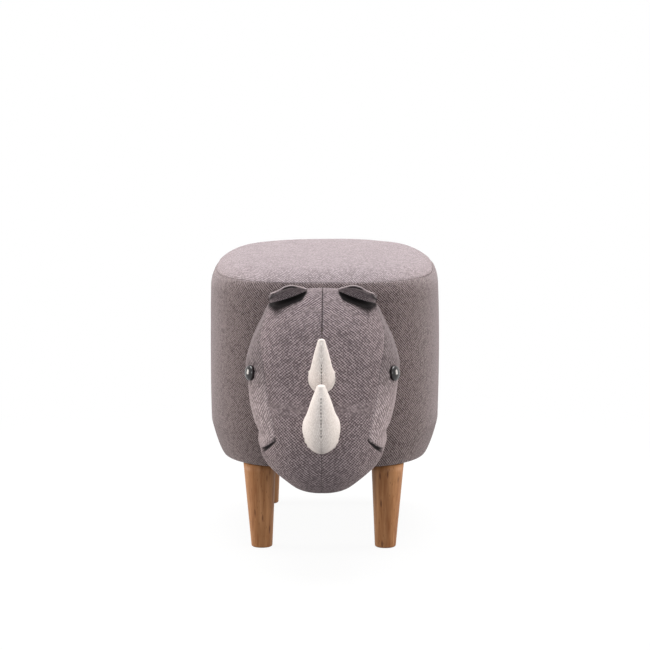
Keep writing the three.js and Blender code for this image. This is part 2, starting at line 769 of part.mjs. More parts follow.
// One layer of the right ear between two heights over its front face
function earLayer(from, to) {
  const point = new THREE.Vector3(earSplayShare, -Math.sqrt(1 - earRiseShare ** 2), earRiseShare).normalize();
  const grid = (height) => Array.from({ length: earRows + 1 }, (_, i) => {
    const along = i / earRows;
    const x = (headWidth / 2) * (earStartShare + (earEndShare - earStartShare) * along);
    const sag = earSag * Math.sin(Math.PI * along);
    const root = headFrontAt(x, earStartDrop + (earEndDrop - earStartDrop) * along ** 2 + sag);
    const width = earWidth * (earTipShare + (1 - earTipShare) * Math.sin(Math.PI * along) ** earRoundness);
    const run = new THREE.Vector3(1, 0, -earEndDrop / headWidth).normalize();
    const up = run.clone().cross(point).normalize();
    return Array.from({ length: earColumns + 1 }, (__, j) => {
      const across = j / earColumns;
      const bow = earBow * Math.sin(Math.PI * across) * Math.sin(Math.PI * along);
      return root.clone().addScaledVector(point, width * across - earRootDepth)
        .addScaledVector(up, -(height + bow));
    });
  });
  return slab(grid(from), grid(to));
}

const lining = earLayer(0, earLayerThickness);
const outer = earLayer(earLayerThickness + gap, earLayerThickness * 2 + gap);
sides.forEach(([side, turnTo]) => {
  add(`ear_lining_${side}`, cut(turnTo(lining), [grownHead, grownBody]), fabricLook());
  add(`ear_outer_${side}`, cut(turnTo(outer), [grownHead, grownBody]), fabricLook());
});

// Horns

function hornShape(horn, taperShares) {
  const surface = headFrontAt(0, horn.drop);
  const spine = new THREE.QuadraticBezierCurve3(
    surface.clone().add(new THREE.Vector3(0, horn.root, 0)),
    surface.clone().add(new THREE.Vector3(0, -horn.reach, -horn.dip)),
    surface.clone().add(new THREE.Vector3(0, -horn.reach, horn.rise)),
  );
  const rings = Array.from({ length: hornSteps + 1 }, (_, i) => {
    const along = i / hornSteps;
    const centre = spine.getPoint(along);
    const normal = new THREE.Vector3(1, 0, 0).cross(spine.getTangent(along)).normalize();
    const size = tableAt(taperShares, along);
    return Array.from({ length: turnSteps }, (__, k) => {
      const angle = (k / turnSteps) * 2 * Math.PI;
      return centre.clone()
        .add(new THREE.Vector3((horn.width / 2) * size * Math.cos(angle), 0, 0))
        .addScaledVector(normal, (horn.depth / 2) * size * Math.sin(angle));
    });
  });
  const tipRadius = (horn.width / 2) * taperShares.at(-1);
  const tip = spine.getPoint(1).addScaledVector(spine.getTangent(1), tipRadius * hornTipShare);
  return loft([[spine.getPoint(0)], ...rings, [tip]]);
}

function addHorn(name, horn, taperShares) {
  const shape = hornShape(horn, taperShares);
  const cover = cut(shape, [shrunk(shape, hornCloth), grownHead]);
  sides.forEach(([side, turnTo]) => add(`${name}_${side}`, common(cover, turnTo(rightHalf)), hornLook()));
  add(`${name}_stuffing`, cut(shrunk(shape, hornCloth + gap), [grownHead]), fillLook());
}

addHorn('front_horn', frontHorn, frontHornTaperShares);
addHorn('rear_horn', rearHorn, rearHornTaperShares);

// Tail: a sewn strap that ends in a fuller tuft

function tail() {
  const standoff = tailTuftThickness / 2 + gap * 2;
  const point = (standoffShare, lengthShare) => new THREE.Vector3(
    0,
    -faceY + standoff * standoffShare,
    bodyTop - tailDrop - tailLength * lengthShare,
  );
  const root = point(0, 0).setY(-faceY - overrun);
  const curve = new THREE.CatmullRomCurve3([
    root, point(...tailRootShares), point(1, tailBendShare), point(1, 1),
  ]);
  const rings = Array.from({ length: tailSteps + 1 }, (_, i) => {
    const along = i / tailSteps;
    const centre = curve.getPointAt(along);
    const normal = new THREE.Vector3(1, 0, 0).cross(curve.getTangentAt(along)).normalize();
    const tuft = Math.max(0, (along - tailTuftShare) / (1 - tailTuftShare));
    const swell = Math.sin(Math.PI * Math.min(tuft, tailTuftEndShare));
    const width = tailWidth + (tailTuftWidth - tailWidth) * swell;
    const depth = tailThickness + (tailTuftThickness - tailThickness) * swell;
    return Array.from({ length: turnSteps }, (__, k) => {
      const angle = (k / turnSteps) * 2 * Math.PI;
      return centre.clone().add(new THREE.Vector3((width / 2) * Math.cos(angle), 0, 0))
        .addScaledVector(normal, (depth / 2) * Math.sin(angle));
    });
  });
  return cut(loft([[curve.getPointAt(0)], ...rings, [curve.getPointAt(1)]]), [grownBody]);
}

add('tail', tail(), fabricLook());

// Origin on the floor under the middle of the whole stool
stool.updateMatrixWorld(true);
const reach = new THREE.Box3().setFromObject(stool);
stool.position.y = -(reach.min.y + reach.max.y) / 2;
stool.updateMatrixWorld(true);

export default stool;
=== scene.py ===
"""Rhinoceros footstool: cloth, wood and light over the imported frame. Metres, +Z up, the head looks along -Y."""

import json
from functools import partial
from math import cos, pi, radians, sin, sqrt

import bmesh
import bpy
import numpy as np
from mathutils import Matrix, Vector


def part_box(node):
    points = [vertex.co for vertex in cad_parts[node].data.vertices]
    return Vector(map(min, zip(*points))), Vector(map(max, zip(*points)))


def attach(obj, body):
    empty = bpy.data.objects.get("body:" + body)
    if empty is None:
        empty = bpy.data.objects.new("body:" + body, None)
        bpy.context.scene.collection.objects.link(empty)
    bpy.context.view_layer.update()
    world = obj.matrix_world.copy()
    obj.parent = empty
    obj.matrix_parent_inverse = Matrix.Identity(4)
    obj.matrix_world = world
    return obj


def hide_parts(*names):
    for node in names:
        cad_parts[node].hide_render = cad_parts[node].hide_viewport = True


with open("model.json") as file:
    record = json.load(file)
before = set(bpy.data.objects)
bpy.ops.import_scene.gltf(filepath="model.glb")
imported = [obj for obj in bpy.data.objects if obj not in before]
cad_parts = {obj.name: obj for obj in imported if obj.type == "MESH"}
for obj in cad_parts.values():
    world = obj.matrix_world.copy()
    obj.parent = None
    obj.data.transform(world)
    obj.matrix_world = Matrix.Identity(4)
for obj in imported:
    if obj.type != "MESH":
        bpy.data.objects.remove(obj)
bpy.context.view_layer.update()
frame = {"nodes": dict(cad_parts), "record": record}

MM = 0.001
SIDES = (("right", 1), ("left", -1))

# Sizes and shares of the CAD model, in metres
SEAM_GAP = 0.3 * MM
COVER = 1.6 * MM
HORN_CLOTH = 1.5 * MM
PLAN_POWER = 2.85
TOP_ROLL = 38 * MM
TOP_SEAM_SHARE = 0.37
CROWN_RISE = 5 * MM
HEAD_REACH = 148 * MM
HEAD_SHARE = 0.645  # of the body's width
HEAD_FRONT_POWER = 2.5
HEAD_BACK_POWER = 2
HEAD_WIDTH_SHARES = [0, 0.42, 0.675, 0.8, 0.921, 1, 0.977, 0.917, 0.839, 0.72, 0.5, 0.285, 0]
HEAD_FRONT_SHARES = [0.2, 0.36, 0.51, 0.66, 0.777, 0.872, 0.946, 0.993, 1, 0.953, 0.845, 0.7, 0.49]
HEAD_CENTRE_SHARES = [0.2, 0.21, 0.22, 0.23, 0.235, 0.24, 0.25, 0.27, 0.3, 0.35, 0.41, 0.46, 0.49]
HEAD_BACK_SHARES = [0, 0.14, 0.25, 0.36, 0.45, 0.5, 0.5, 0.5, 0.5, 0.47, 0.36, 0.2, 0]

# Seam between face and cheek: shares of the half width and of the height of the head
CHEEK_SEAM = [
    (0.6, -0.2), (0.65, 0), (0.68, 0.06), (0.78, 0.18), (0.793, 0.25), (0.757, 0.333), (0.707, 0.44),
    (0.675, 0.54), (0.62, 0.61), (0.59, 0.704),
]
JAW_SEAM = [(0.765, 0.77), (0.745, 0.82), (0.63, 0.866), (0.42, 0.943), (0.24, 1), (0.24, 1.2)]
MOUTH = (CHEEK_SEAM[-1], JAW_SEAM[0])

EYE_RADIUS = 9.8 * MM
EYE_HEIGHT = 6.5 * MM
EYE_RIM = 1.5 * MM
EYE_DROP = 101.5 * MM
EYE_TURN = 0.33 * pi / 2

EAR_WIDTH = 19.4 * MM
EAR_LAYER = 1.2 * MM
EAR_BOW = 3.5 * MM
EAR_ROUNDNESS = 0.61
EAR_SHARES = (0.2, 0.69)
EAR_DROPS = (2 * MM, 18 * MM)
EAR_SAG = 4 * MM
EAR_SPLAY = 3.2 * MM
EAR_POINT = (0.175, -sqrt(1 - 0.7**2), 0.7)
EAR_TIP_SHARE = 0.27

FRONT_HORN = {
    "drop": 167 * MM, "width": 47.5 * MM, "depth": 57 * MM, "reach": 38 * MM, "rise": 63.5 * MM, "root": 20 * MM,
    "dip": 4 * MM, "taper": [0.92, 0.95, 0.96, 1, 0.89, 0.72, 0.53, 0.25], "stitches": (0.3, 0.84),
}
REAR_HORN = {
    "drop": 101 * MM, "width": 34.5 * MM, "depth": 36 * MM, "reach": 26.5 * MM, "rise": 51.5 * MM, "root": 20 * MM,
    "dip": 0, "taper": [1, 0.98, 0.93, 0.86, 0.77, 0.65, 0.49, 0.26], "stitches": (0.08, 0.52),
}
STITCH_PITCH = 4.4 * MM
STITCH_LENGTH = 2.9 * MM
STITCH_RADIUS = 0.5 * MM

TAIL_DROP = 105 * MM
TAIL_LENGTH = 118 * MM
TAIL_WIDTH = 15 * MM
TAIL_THICKNESS = 6 * MM
TAIL_TUFT = {"start": 0.75, "end": 0.92, "width": 26 * MM, "thickness": 13 * MM}
# How the tail hangs: shares of its distance from the body and of its length
TAIL_LINE = [(0, 0), (0.55, 0.012), (0.85, 0.06), (1, 0.25), (1, 0.5), (1, 0.75), (1, 1)]

LEG_TOP_RADIUS = 21.4 * MM
LEG_FOOT_RADIUS = 13.8 * MM
LEG_LEAN = 2.8 * MM
LEG_BORE = (4.3 * MM, 28.3 * MM)
FOOT_EDGE = 2.5 * MM

# The cloth draws in towards the hem higher up and straighter than the foam under it
HEM_DRAW_HEIGHT = 44 * MM
HEM_DRAW_INSET = 15.5 * MM
HEM_DRAW_POWER = 1.2
HEM_WIDTH = 33.5 * MM

# Places that the frame gives
side_low, side_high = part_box("side_cover")
BODY_WIDTH, BODY_LENGTH = (side_high - side_low).xy
BODY_CENTRE = (side_low.y + side_high.y) / 2
COVER_BOTTOM = side_low.z
BODY_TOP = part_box("top_cover")[1].z
EDGE_TOP = BODY_TOP - CROWN_RISE
FACE_Y = side_low.y
HEAD_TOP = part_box("face_right")[1].z
HEAD_HEIGHT = HEAD_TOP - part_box("face_right")[0].z
HEAD_WIDTH = BODY_WIDTH * HEAD_SHARE
LEG_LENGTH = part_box("leg_front_right")[1].z

# Numbers of rows and columns in the finished cloth
BODY_COLUMNS = 264
SIDE_ROWS = 150
TOP_ROWS = 90
HEAD_ROWS = 260
HEAD_COLUMNS = {"face": 80, "cheek": 80, "back": 28}

# How the cloth settles: covers start a little inside the frame's, because the filling swells them
SETTLE_FRAMES = 20
SETTLE_CLOTH = {
    "quality": 5, "mass": 0.3, "tension_stiffness": 25, "compression_stiffness": 25, "shear_stiffness": 10,
    "bending_stiffness": 2, "use_pressure": True, "uniform_pressure_force": 4,
}
BODY_SWELL = 2.2 * MM
BODY_START = 0.8 * MM
HEAD_SWELL = 2.5 * MM

# Relief of the cloth
TOP_SEAM_DEPTHS = (0.1 * MM, 1.1 * MM)
BACK_SEAM_DEPTH = 0.9 * MM
CHEEK_SEAM_DEPTH = 0.4 * MM
WAVE_HEIGHT = 0.35 * MM
MOUTH_DEPTHS = (2.5 * MM, 5 * MM)
EAR_CREASE_DEPTH = 4 * MM
EYE_TUFT_DEPTH = 1.6 * MM

# Height share of the head at which the ribs of the twill turn the other way
FLIP_SHARE = 0.545

# Swellings and hollow of the cheek beside the mouth: height share of the head, spread and rise
JOWLS = ((0.57, 0.09, 1.5 * MM), (0.7, 0.03, -2.4 * MM), (0.79, 0.045, 2.6 * MM))

# How much painted shade darkens the upper part of each head panel, standing in for less light falling there
UPPER_PANEL_PAINTED_SHADE = {"face": 0.1, "cheek": 0.5, "back": 0.1}

# Ribs of the twill: turn of the strong and of the faint ones, pitch and strength of the faint ones as shares of
# the strong ones', how far a rib wavers in pitches, and how much of the tone is slow unevenness
RIB_TURN = radians(46)
FAINT_RIB_TURN = radians(-52)
FAINT_RIB_PITCH = 0.85
FAINT_RIB_SHARE = 0.8
RIB_WAVER = 1.1
CLOUD_SHARE = 0.14

# Studio: white floor that keeps a faint shadow, and a camera far in front, as the photograph has it
FLOOR_GLOW = 0.93
FLOOR_SHADE = 0.07
FLOOR_BOUNCE = 0.3
FLOOR_REACH = 12
STUDIO_FILL = 0.45
SOFTBOXES = {  # place, width, height, watts, colour
    "top_softbox": ((0, 0.2, 1.9), 1.3, 1.3, 38, "#ffffff"),
    "left_softbox": ((-1.9, 0.2, 0.4), 1.0, 1.0, 31, "#fff8f0"),
    "front_softbox": ((0, -3, 1.0), 1.6, 1.2, 24, "#ffffff"),
    "right_softbox": ((1.9, 0.2, 0.4), 1.0, 1.0, 29, "#fff8f0"),
}
CAMERA_DISTANCE = 4.15
CAMERA_HEIGHT = 0.857
CAMERA_TURN = radians(0.7)
CAMERA_PITCH = radians(7.98)
FOCAL_PIXELS = 3080
PICTURE_PIXELS = 650


def table_at(shares, place):
    """Smooth value of a table at places from 0 to 1."""
    table = np.array(shares, float)
    last = len(table) - 1
    x = np.clip(place, 0, 1) * last
    i = np.minimum(np.floor(x).astype(int), last - 1)
    f = x - i
    padded = np.concatenate([[2 * table[0] - table[1]], table, [2 * table[-1] - table[-2]]])
    before, low, high, after = (padded[i + step] for step in range(4))
    slope_in, slope_out = (high - before) / 2, (after - low) / 2
    return (
        low * (1 + 2 * f) * (1 - f) ** 2 + slope_in * f * (1 - f) ** 2
        + high * f**2 * (3 - 2 * f) - slope_out * f**2 * (1 - f)
    )


def bump_at(x, width):
    """Smooth hump of height 1 at zero that fades over a width."""
    return np.exp(-((x / width) ** 2))


def fade(x, low, high):
    """Smooth step from 0 at low to 1 at high."""
    t = np.clip((x - low) / (high - low), 0, 1)
    return t * t * (3 - 2 * t)


def mix(low, high, share):
    """Value at a share of the way from one to another."""
    return low + (high - low) * share


def run_along(points, axis):
    """Length from the first point of a grid along its rows (axis 0) or columns (axis 1)."""
    pieces = np.linalg.norm(np.diff(points, axis=axis), axis=2)
    start = np.zeros_like(np.take(pieces, [0], axis=axis))
    return np.concatenate([start, np.cumsum(pieces, axis=axis)], axis=axis)


def unrolled(points, start=0):
    """Flat cloth coordinates of a grid, measured along it."""
    return grid_of(run_along(points, 1), run_along(points, 0) + start)


def grid_of(*parts):
    """Grid of points, or of flat cloth coordinates, from its x, y and z."""
    return np.stack(np.broadcast_arrays(*parts), axis=-1)


def unit(vectors):
    """Vectors brought to length 1."""
    return vectors / np.maximum(np.linalg.norm(vectors, axis=-1, keepdims=True), 1e-12)


def ringed(grid):
    """A wrapped grid, which has its first column again as its last, with one more column at each end."""
    return np.concatenate([grid[:, -2:-1], grid, grid[:, 1:2]], axis=1)


def facing(points, wrapped=False):
    """Directions that the cloth of a grid faces."""
    across = np.gradient(ringed(points), axis=1)[:, 1:-1] if wrapped else np.gradient(points, axis=1)
    return unit(np.cross(across, np.gradient(points, axis=0)))


# Surfaces


def drop_share(level):
    """Share of the head's height above a level; the levels go from 0 at its top to 1 at its chin."""
    return (1 - np.cos(pi * level)) / 2


def level_at(drop):
    """Level of the head at a distance under its top."""
    return np.arccos(np.clip(1 - 2 * drop / HEAD_HEIGHT, -1, 1)) / pi


def plan_points(inset, angle):
    """Plan of the body, moved in by an inset."""
    c, s = np.cos(angle), np.sin(angle)
    reach = (np.abs(c) ** PLAN_POWER + np.abs(s) ** PLAN_POWER) ** (-1 / PLAN_POWER)
    nx = np.sign(c) * np.abs(reach * c) ** (PLAN_POWER - 1) / BODY_WIDTH
    ny = np.sign(s) * np.abs(reach * s) ** (PLAN_POWER - 1) / BODY_LENGTH
    size = np.hypot(nx, ny)
    x = BODY_WIDTH / 2 * reach * c - inset * nx / size
    y = BODY_LENGTH / 2 * reach * s - inset * ny / size
    return x, y + BODY_CENTRE


def body_inset(z):
    """How far the body's side lies inside its widest plan at a height."""
    low = np.clip((COVER_BOTTOM + HEM_DRAW_HEIGHT - z) / HEM_DRAW_HEIGHT, 0, 1)
    high = np.clip((z - EDGE_TOP + TOP_ROLL) / TOP_ROLL, 0, 1)
    drawn_in = HEM_DRAW_INSET * (1 - (1 - low**HEM_DRAW_POWER) ** (1 / HEM_DRAW_POWER))
    return drawn_in + TOP_ROLL * (1 - np.sqrt(1 - high**2))


def body_front(x, z):
    """Y of the front of the body at places in the front view."""
    angles = np.linspace(-pi, 0, 721)
    outside, inside = (np.interp(x, *plan_points(inset, angles)) for inset in (0, TOP_ROLL))
    return mix(outside, inside, body_inset(z) / TOP_ROLL)


def head_points(turn, level):
    """Points of the head: turn goes round it with the nose at a quarter turn, level from top to chin."""
    c, s = np.cos(turn), np.sin(turn)
    power = np.where(s > 0, HEAD_FRONT_POWER, HEAD_BACK_POWER)
    reach = (np.abs(c) ** power + np.abs(s) ** power) ** (-1 / power)
    centre = table_at(HEAD_CENTRE_SHARES, level)
    depth = np.where(s > 0, table_at(HEAD_FRONT_SHARES, level) - centre, table_at(HEAD_BACK_SHARES, level))
    x = HEAD_WIDTH / 2 * table_at(HEAD_WIDTH_SHARES, level) * reach * c
    y = FACE_Y - HEAD_REACH * (centre + depth * reach * s)
    z = HEAD_TOP - HEAD_HEIGHT * drop_share(level)
    return grid_of(x, y, z)


def head_front(x, z):
    """Y of the front of the head at places in the front view."""
    level = level_at(HEAD_TOP - z)
    width = np.maximum(HEAD_WIDTH / 2 * table_at(HEAD_WIDTH_SHARES, level), 1e-6)
    side = np.minimum(np.abs(x) / width, 1) ** HEAD_FRONT_POWER
    centre = table_at(HEAD_CENTRE_SHARES, level)
    depth = table_at(HEAD_FRONT_SHARES, level) - centre
    return FACE_Y - HEAD_REACH * (centre + depth * (1 - side) ** (1 / HEAD_FRONT_POWER))


def in_front(points, front):
    """Points that would be inside the body or the head are brought forward to its front."""
    moved = points.copy()
    moved[..., 1] = np.minimum(points[..., 1], front(points[..., 0], points[..., 2]) - SEAM_GAP)
    return moved


# Meshes


def listed(grids):
    """What some grids hold, in one list."""
    return np.concatenate([grid.reshape(-1, *grid.shape[2:]) for grid in grids])


def numbered(grids):
    """Running numbers of the points of each grid, as in their list."""
    sizes = [grid.shape[0] * grid.shape[1] for grid in grids]
    parts = np.split(np.arange(sum(sizes)), np.cumsum(sizes)[:-1])
    return [part.reshape(grid.shape[:2]) for part, grid in zip(parts, grids)]


def quads(index):
    """Faces between the points of a grid of point numbers."""
    return np.stack([index[:-1, :-1], index[:-1, 1:], index[1:, 1:], index[1:, :-1]], axis=-1).reshape(-1, 4)


def cloth_mesh(name, grids, closed=False, painted_shade=None):
    """One mesh of (points, flat cloth coordinates) grids, with shared edges joined.

    A closed one has its faces turned out. The shares of painted shade, kept as the fold attribute, say how far
    each point is darkened by painted shade."""
    points, flat = zip(*grids)
    faces = np.concatenate([quads(numbers) for numbers in numbered(points)])
    mesh = bpy.data.meshes.new(name)
    mesh.from_pydata(listed(points).tolist(), [], faces.tolist())
    # painted shade, stored per point for the cloth's material
    if painted_shade is not None:
        mesh.attributes.new("fold", "FLOAT", "POINT").data.foreach_set("value", listed(painted_shade).astype(np.float32))
    layer = mesh.uv_layers.new(name="weave")
    layer.data.foreach_set("uv", listed(flat)[faces.reshape(-1)].astype(np.float32).reshape(-1))
    shape = bmesh.new()
    shape.from_mesh(mesh)
    bmesh.ops.remove_doubles(shape, verts=shape.verts, dist=0.01 * MM)
    bmesh.ops.dissolve_degenerate(shape, edges=shape.edges, dist=0.005 * MM)
    if closed:
        bmesh.ops.recalc_face_normals(shape, faces=shape.faces)
    for face in shape.faces:
        face.smooth = True
    shape.to_mesh(mesh)
    shape.free()
    return mesh


def put_in_scene(name, data):
    """New object in the scene, of a mesh, a curve, a lamp or a camera."""
    made = bpy.data.objects.new(name, data)
    bpy.context.scene.collection.objects.link(made)
    return made


def add_piece(mesh, material, nodes):
    """Puts a finished mesh in the scene as a piece that stands for CAD nodes."""
    piece = put_in_scene(mesh.name, mesh)
    mesh.materials.clear()
    mesh.materials.append(material)
    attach(piece, "root")
    if nodes:
        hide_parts(*nodes)
    return piece


def give_thickness(piece, thickness, offset=-1):
    """Gives cloth its thickness, towards the inside unless the offset is 1."""
    wall = piece.modifiers.new("thickness", "SOLIDIFY")
    wall.thickness = thickness
    wall.offset = offset
    return wall


def turned_grid(profile, steps):
    """Grid of a turned shape from (radius, height) pairs."""
    angles = np.linspace(0, 2 * pi, steps + 1)
    radius, height = np.array(profile, float).T[..., None]
    return grid_of(radius * np.cos(angles), radius * np.sin(angles), height)


# Cloth simulation


def settled(grids, stitched, cap):
    """How far each point of some grids of one closed form moves under the push of its filling.

    The stitched points stay, and no other moves further than the cap. It is a cloth simulation with pressure."""
    corners = listed(grids)
    joined, first, index = np.unique(
        np.round(corners / (0.02 * MM)), axis=0, return_index=True, return_inverse=True)
    index = index.reshape(-1)
    faces = [list(dict.fromkeys(face)) for numbers in numbered(grids) for face in quads(index[numbers]).tolist()]
    mesh = bpy.data.meshes.new("settling")
    mesh.from_pydata(corners[first].tolist(), [], [face for face in faces if len(face) > 2])
    mesh.update()
    cloth = put_in_scene("settling", mesh)
    group = cloth.vertex_groups.new(name="stitched")
    group.add(np.unique(index[listed(stitched)]).tolist(), 1.0, "REPLACE")
    modifier = cloth.modifiers.new("cloth", "CLOTH")
    for setting, value in SETTLE_CLOTH.items():
        setattr(modifier.settings, setting, value)
    modifier.settings.vertex_group_mass = "stitched"
    modifier.settings.effector_weights.gravity = 0
    modifier.collision_settings.use_collision = False
    modifier.point_cache.frame_end = SETTLE_FRAMES
    for number in range(1, SETTLE_FRAMES + 1):
        bpy.context.scene.frame_set(number)
    shape = cloth.evaluated_get(bpy.context.evaluated_depsgraph_get()).data
    after = np.empty(len(first) * 3, np.float32)
    shape.vertices.foreach_get("co", after)
    bpy.context.scene.frame_set(1)
    bpy.data.objects.remove(cloth)
    bpy.data.meshes.remove(mesh)
    move = after.reshape(-1, 3) - corners[first]
    length = np.linalg.norm(move, axis=1, keepdims=True)
    move = (move * np.minimum(1, cap / np.maximum(length, 1e-9)))[index]
    return [move[numbers] for numbers in numbered(grids)]


def evened(values, rounds, wrapped=False):
    """A grid of values with each one drawn towards its neighbours, some rounds over; the edge rows stay."""
    values = values.copy()
    for _ in range(rounds):
        values[1:-1] = (values[:-2] + 2 * values[1:-1] + values[2:]) / 4
        if wrapped:
            ring = ringed(values)
            values = (ring[:, :-2] + 2 * ring[:, 1:-1] + ring[:, 2:]) / 4
        else:
            values[:, 1:-1] = (values[:, :-2] + 2 * values[:, 1:-1] + values[:, 2:]) / 4
    return values


def finer(values, rows, columns):
    """A grid of values on more rows and columns, smoothly between the old ones."""
    def weights(old, new):
        place = np.linspace(0, old - 1, new)
        i = np.minimum(place.astype(int), old - 2)
        f = place - i
        shares = [-f + 2 * f**2 - f**3, 2 - 5 * f**2 + 3 * f**3, f + 4 * f**2 - 3 * f**3, f**3 - f**2]
        matrix = np.zeros((new, old))
        for step, share in zip((-1, 0, 1, 2), shares):
            np.add.at(matrix, (np.arange(new), np.clip(i + step, 0, old - 1)), share / 2)
        return matrix
    old_rows, old_columns = values.shape[:2]
    return np.einsum("ri,ijk,cj->rck", weights(old_rows, rows), values, weights(old_columns, columns))


# Materials


def linear(colour):
    """Linear colour of an sRGB hex value."""
    parts = [int(colour[i:i + 2], 16) / 255 for i in (1, 3, 5)]
    return [p / 12.92 if p <= 0.04045 else ((p + 0.055) / 1.055) ** 2.4 for p in parts] + [1]


def add_node(tree, kind, inputs=(), **settings):
    """Adds a node with its settings; an input is a value or the output that it is linked to.

    A shader node's kind is given without its prefix."""
    made = tree.nodes.new(kind if "Node" in kind else "ShaderNode" + kind)
    for name, value in settings.items():
        setattr(made, name, value)
    for name, value in dict(inputs).items():
        if isinstance(value, bpy.types.NodeSocket):
            tree.links.new(value, made.inputs[name])
        else:
            made.inputs[name].default_value = value
    return made.outputs


def start_material(name):
    """Empty material, and add_node for its tree."""
    material = bpy.data.materials.new(name)
    material.use_nodes = True
    material.node_tree.nodes.clear()
    return material, partial(add_node, material.node_tree)


def surface(look):
    """Turns a function that gives the settings of a surface into one that makes a named material with it."""
    def make(name, *sizes, **options):
        material, node = start_material(name)
        node("OutputMaterial", {"Surface": node("BsdfPrincipled", look(node, *sizes, **options))["BSDF"]})
        return material
    return make


@surface
def twill(node, groove, crest, wale, rib, float_tone, sheen=0.4):
    """Polyester upholstery twill, woven: matt, with fine diagonal ribs crossed by fainter ones, each float of
    yarn of its own tone, and paler where it turns away from the eye, because of its fibres.

    The ribs are drawn about twice as far apart as real ones, so that they show. The fold attribute paints shade:
    it mixes the cloth towards near-black wherever a mesh marks painted shade."""
    flat = node("UVMap", uv_map="weave")["UV"]
    waver = node("TexNoise", {"Vector": flat, "Scale": 1 / (7 * MM), "Detail": 2})["Fac"]
    place = node("SeparateXYZ", {"Vector": flat})
    from_turn = node("Math", {0: place["Y"]}, operation="ABSOLUTE")[0]
    past_turn = node("Math", {0: place["Y"], 1: 0}, operation="GREATER_THAN")[0]

    def rib_count(turn, pitch):
        run = node("Math", {0: place["X"], 1: cos(turn) / pitch}, operation="MULTIPLY")[0]
        rise = node("Math", {0: from_turn, 1: sin(turn) / pitch, 2: run}, operation="MULTIPLY_ADD")[0]
        return node("Math", {0: waver, 1: RIB_WAVER, 2: rise}, operation="MULTIPLY_ADD")[0]

    def wave(count):
        radians = node("Math", {0: count, 1: 2 * pi}, operation="MULTIPLY")[0]
        return node("Math", {0: radians}, operation="SINE")[0]

    main = rib_count(RIB_TURN, wale)
    fainter = rib_count(FAINT_RIB_TURN, FAINT_RIB_PITCH * wale)
    crossing = node("Math", {0: wave(fainter), 1: FAINT_RIB_SHARE, 2: wave(main)}, operation="MULTIPLY_ADD")[0]
    strength = node("MapRange",
        {"Value": from_turn, "From Min": 0, "From Max": 14 * MM, "To Min": 0.15 * rib, "To Max": rib})["Result"]
    even = node("Math", {0: crossing, 1: strength}, operation="MULTIPLY")[0]
    cells = [node("Math", {0: count}, operation="FLOOR")[0] for count in (main, fainter)]
    cell = node("CombineXYZ", {"X": cells[0], "Y": cells[1], "Z": past_turn})["Vector"]
    yarn = node("TexWhiteNoise", {"Vector": cell}, noise_dimensions="3D")["Value"]
    slack = node("Math", {0: yarn, 1: 1.2, 2: 0.4}, operation="MULTIPLY_ADD")[0]
    weave = node("Math", {0: even, 1: slack}, operation="MULTIPLY")[0]
    flecked = node("Math", {0: yarn, 1: float_tone, 2: weave}, operation="MULTIPLY_ADD")[0]
    cloud = node("TexNoise", {"Vector": flat, "Scale": 1 / (26 * MM), "Detail": 3})["Fac"]
    uneven = node("Math", {0: cloud, 1: CLOUD_SHARE, 2: flecked}, operation="MULTIPLY_ADD")[0]
    middle = float_tone / 2 + CLOUD_SHARE / 2 - 0.5
    tone = node("Math", {0: uneven, 1: middle}, operation="SUBTRACT", use_clamp=True)[0]
    colour = node("Mix", {0: tone, 6: linear(groove), 7: linear(crest)}, data_type="RGBA")[2]
    # painted shade: the fold attribute darkens the cloth towards near-black
    fold = node("Attribute", attribute_name="fold")["Fac"]
    cloth = node("Mix", {0: fold, 6: colour, 7: linear("#060405")}, data_type="RGBA")[2]
    height = node("Math", {0: yarn, 1: 0.3, 2: weave}, operation="MULTIPLY_ADD")[0]
    bump = node("Bump", {"Height": height, "Strength": 0.5, "Distance": 0.35 * MM})["Normal"]
    return {
        "Base Color": cloth, "Roughness": 0.92, "Specular IOR Level": 0.08, "Sheen Weight": sheen,
        "Sheen Roughness": 0.4, "Sheen Tint": linear("#e2d8da"), "Normal": bump}


@surface
def thread(node, colour):
    """Spun polyester sewing thread: matt, a little darker than its cloth."""
    place = node("TexCoord")["Object"]
    twist = node("TexNoise", {"Vector": place, "Scale": 1 / (0.5 * MM)})["Fac"]
    bump = node("Bump", {"Height": twist, "Strength": 0.3, "Distance": 0.1 * MM})["Normal"]
    return {"Base Color": linear(colour), "Roughness": 0.8, "Normal": bump}


@surface
def beech(node):
    """Beech, turned and lacquered: warm, with long fine grain and short dark flecks."""
    place = node("TexCoord")["Object"]
    long_grain = node("Mapping", {"Vector": place, "Scale": (1, 1, 0.06)})["Vector"]
    fibre = node("TexNoise", {"Vector": long_grain, "Scale": 1 / (2.2 * MM), "Detail": 5, "Roughness": 0.6})["Fac"]
    band = node("TexNoise", {"Vector": long_grain, "Scale": 1 / (9 * MM), "Detail": 2, "Distortion": 0.4})["Fac"]
    tone = node("Math", {0: fibre, 1: 0.55, 2: band}, operation="MULTIPLY_ADD")[0]
    share = node("MapRange", {"Value": tone, "From Min": 0.5, "From Max": 1.05})["Result"]
    colour = node("Mix", {0: share, 6: linear("#86552f"), 7: linear("#bd8a5e")}, data_type="RGBA")[2]
    fleck_place = node("Mapping", {"Vector": place, "Scale": (1, 1, 0.22)})["Vector"]
    for cell_size, dark in ((2.6 * MM, 0.55), (8 * MM, 0.8)):
        cell = node("TexVoronoi", {"Vector": fleck_place, "Scale": 1 / cell_size})["Distance"]
        fleck = node("MapRange",
            {"Value": cell, "From Min": 0.07, "From Max": 0.2, "To Min": dark, "To Max": 0})["Result"]
        colour = node("Mix", {0: fleck, 6: colour, 7: linear("#4f2b16")}, data_type="RGBA")[2]
    bump = node("Bump", {"Height": fibre, "Strength": 0.15, "Distance": 0.1 * MM})["Normal"]
    return {"Base Color": colour, "Roughness": 0.5, "Specular IOR Level": 0.25, "Normal": bump}


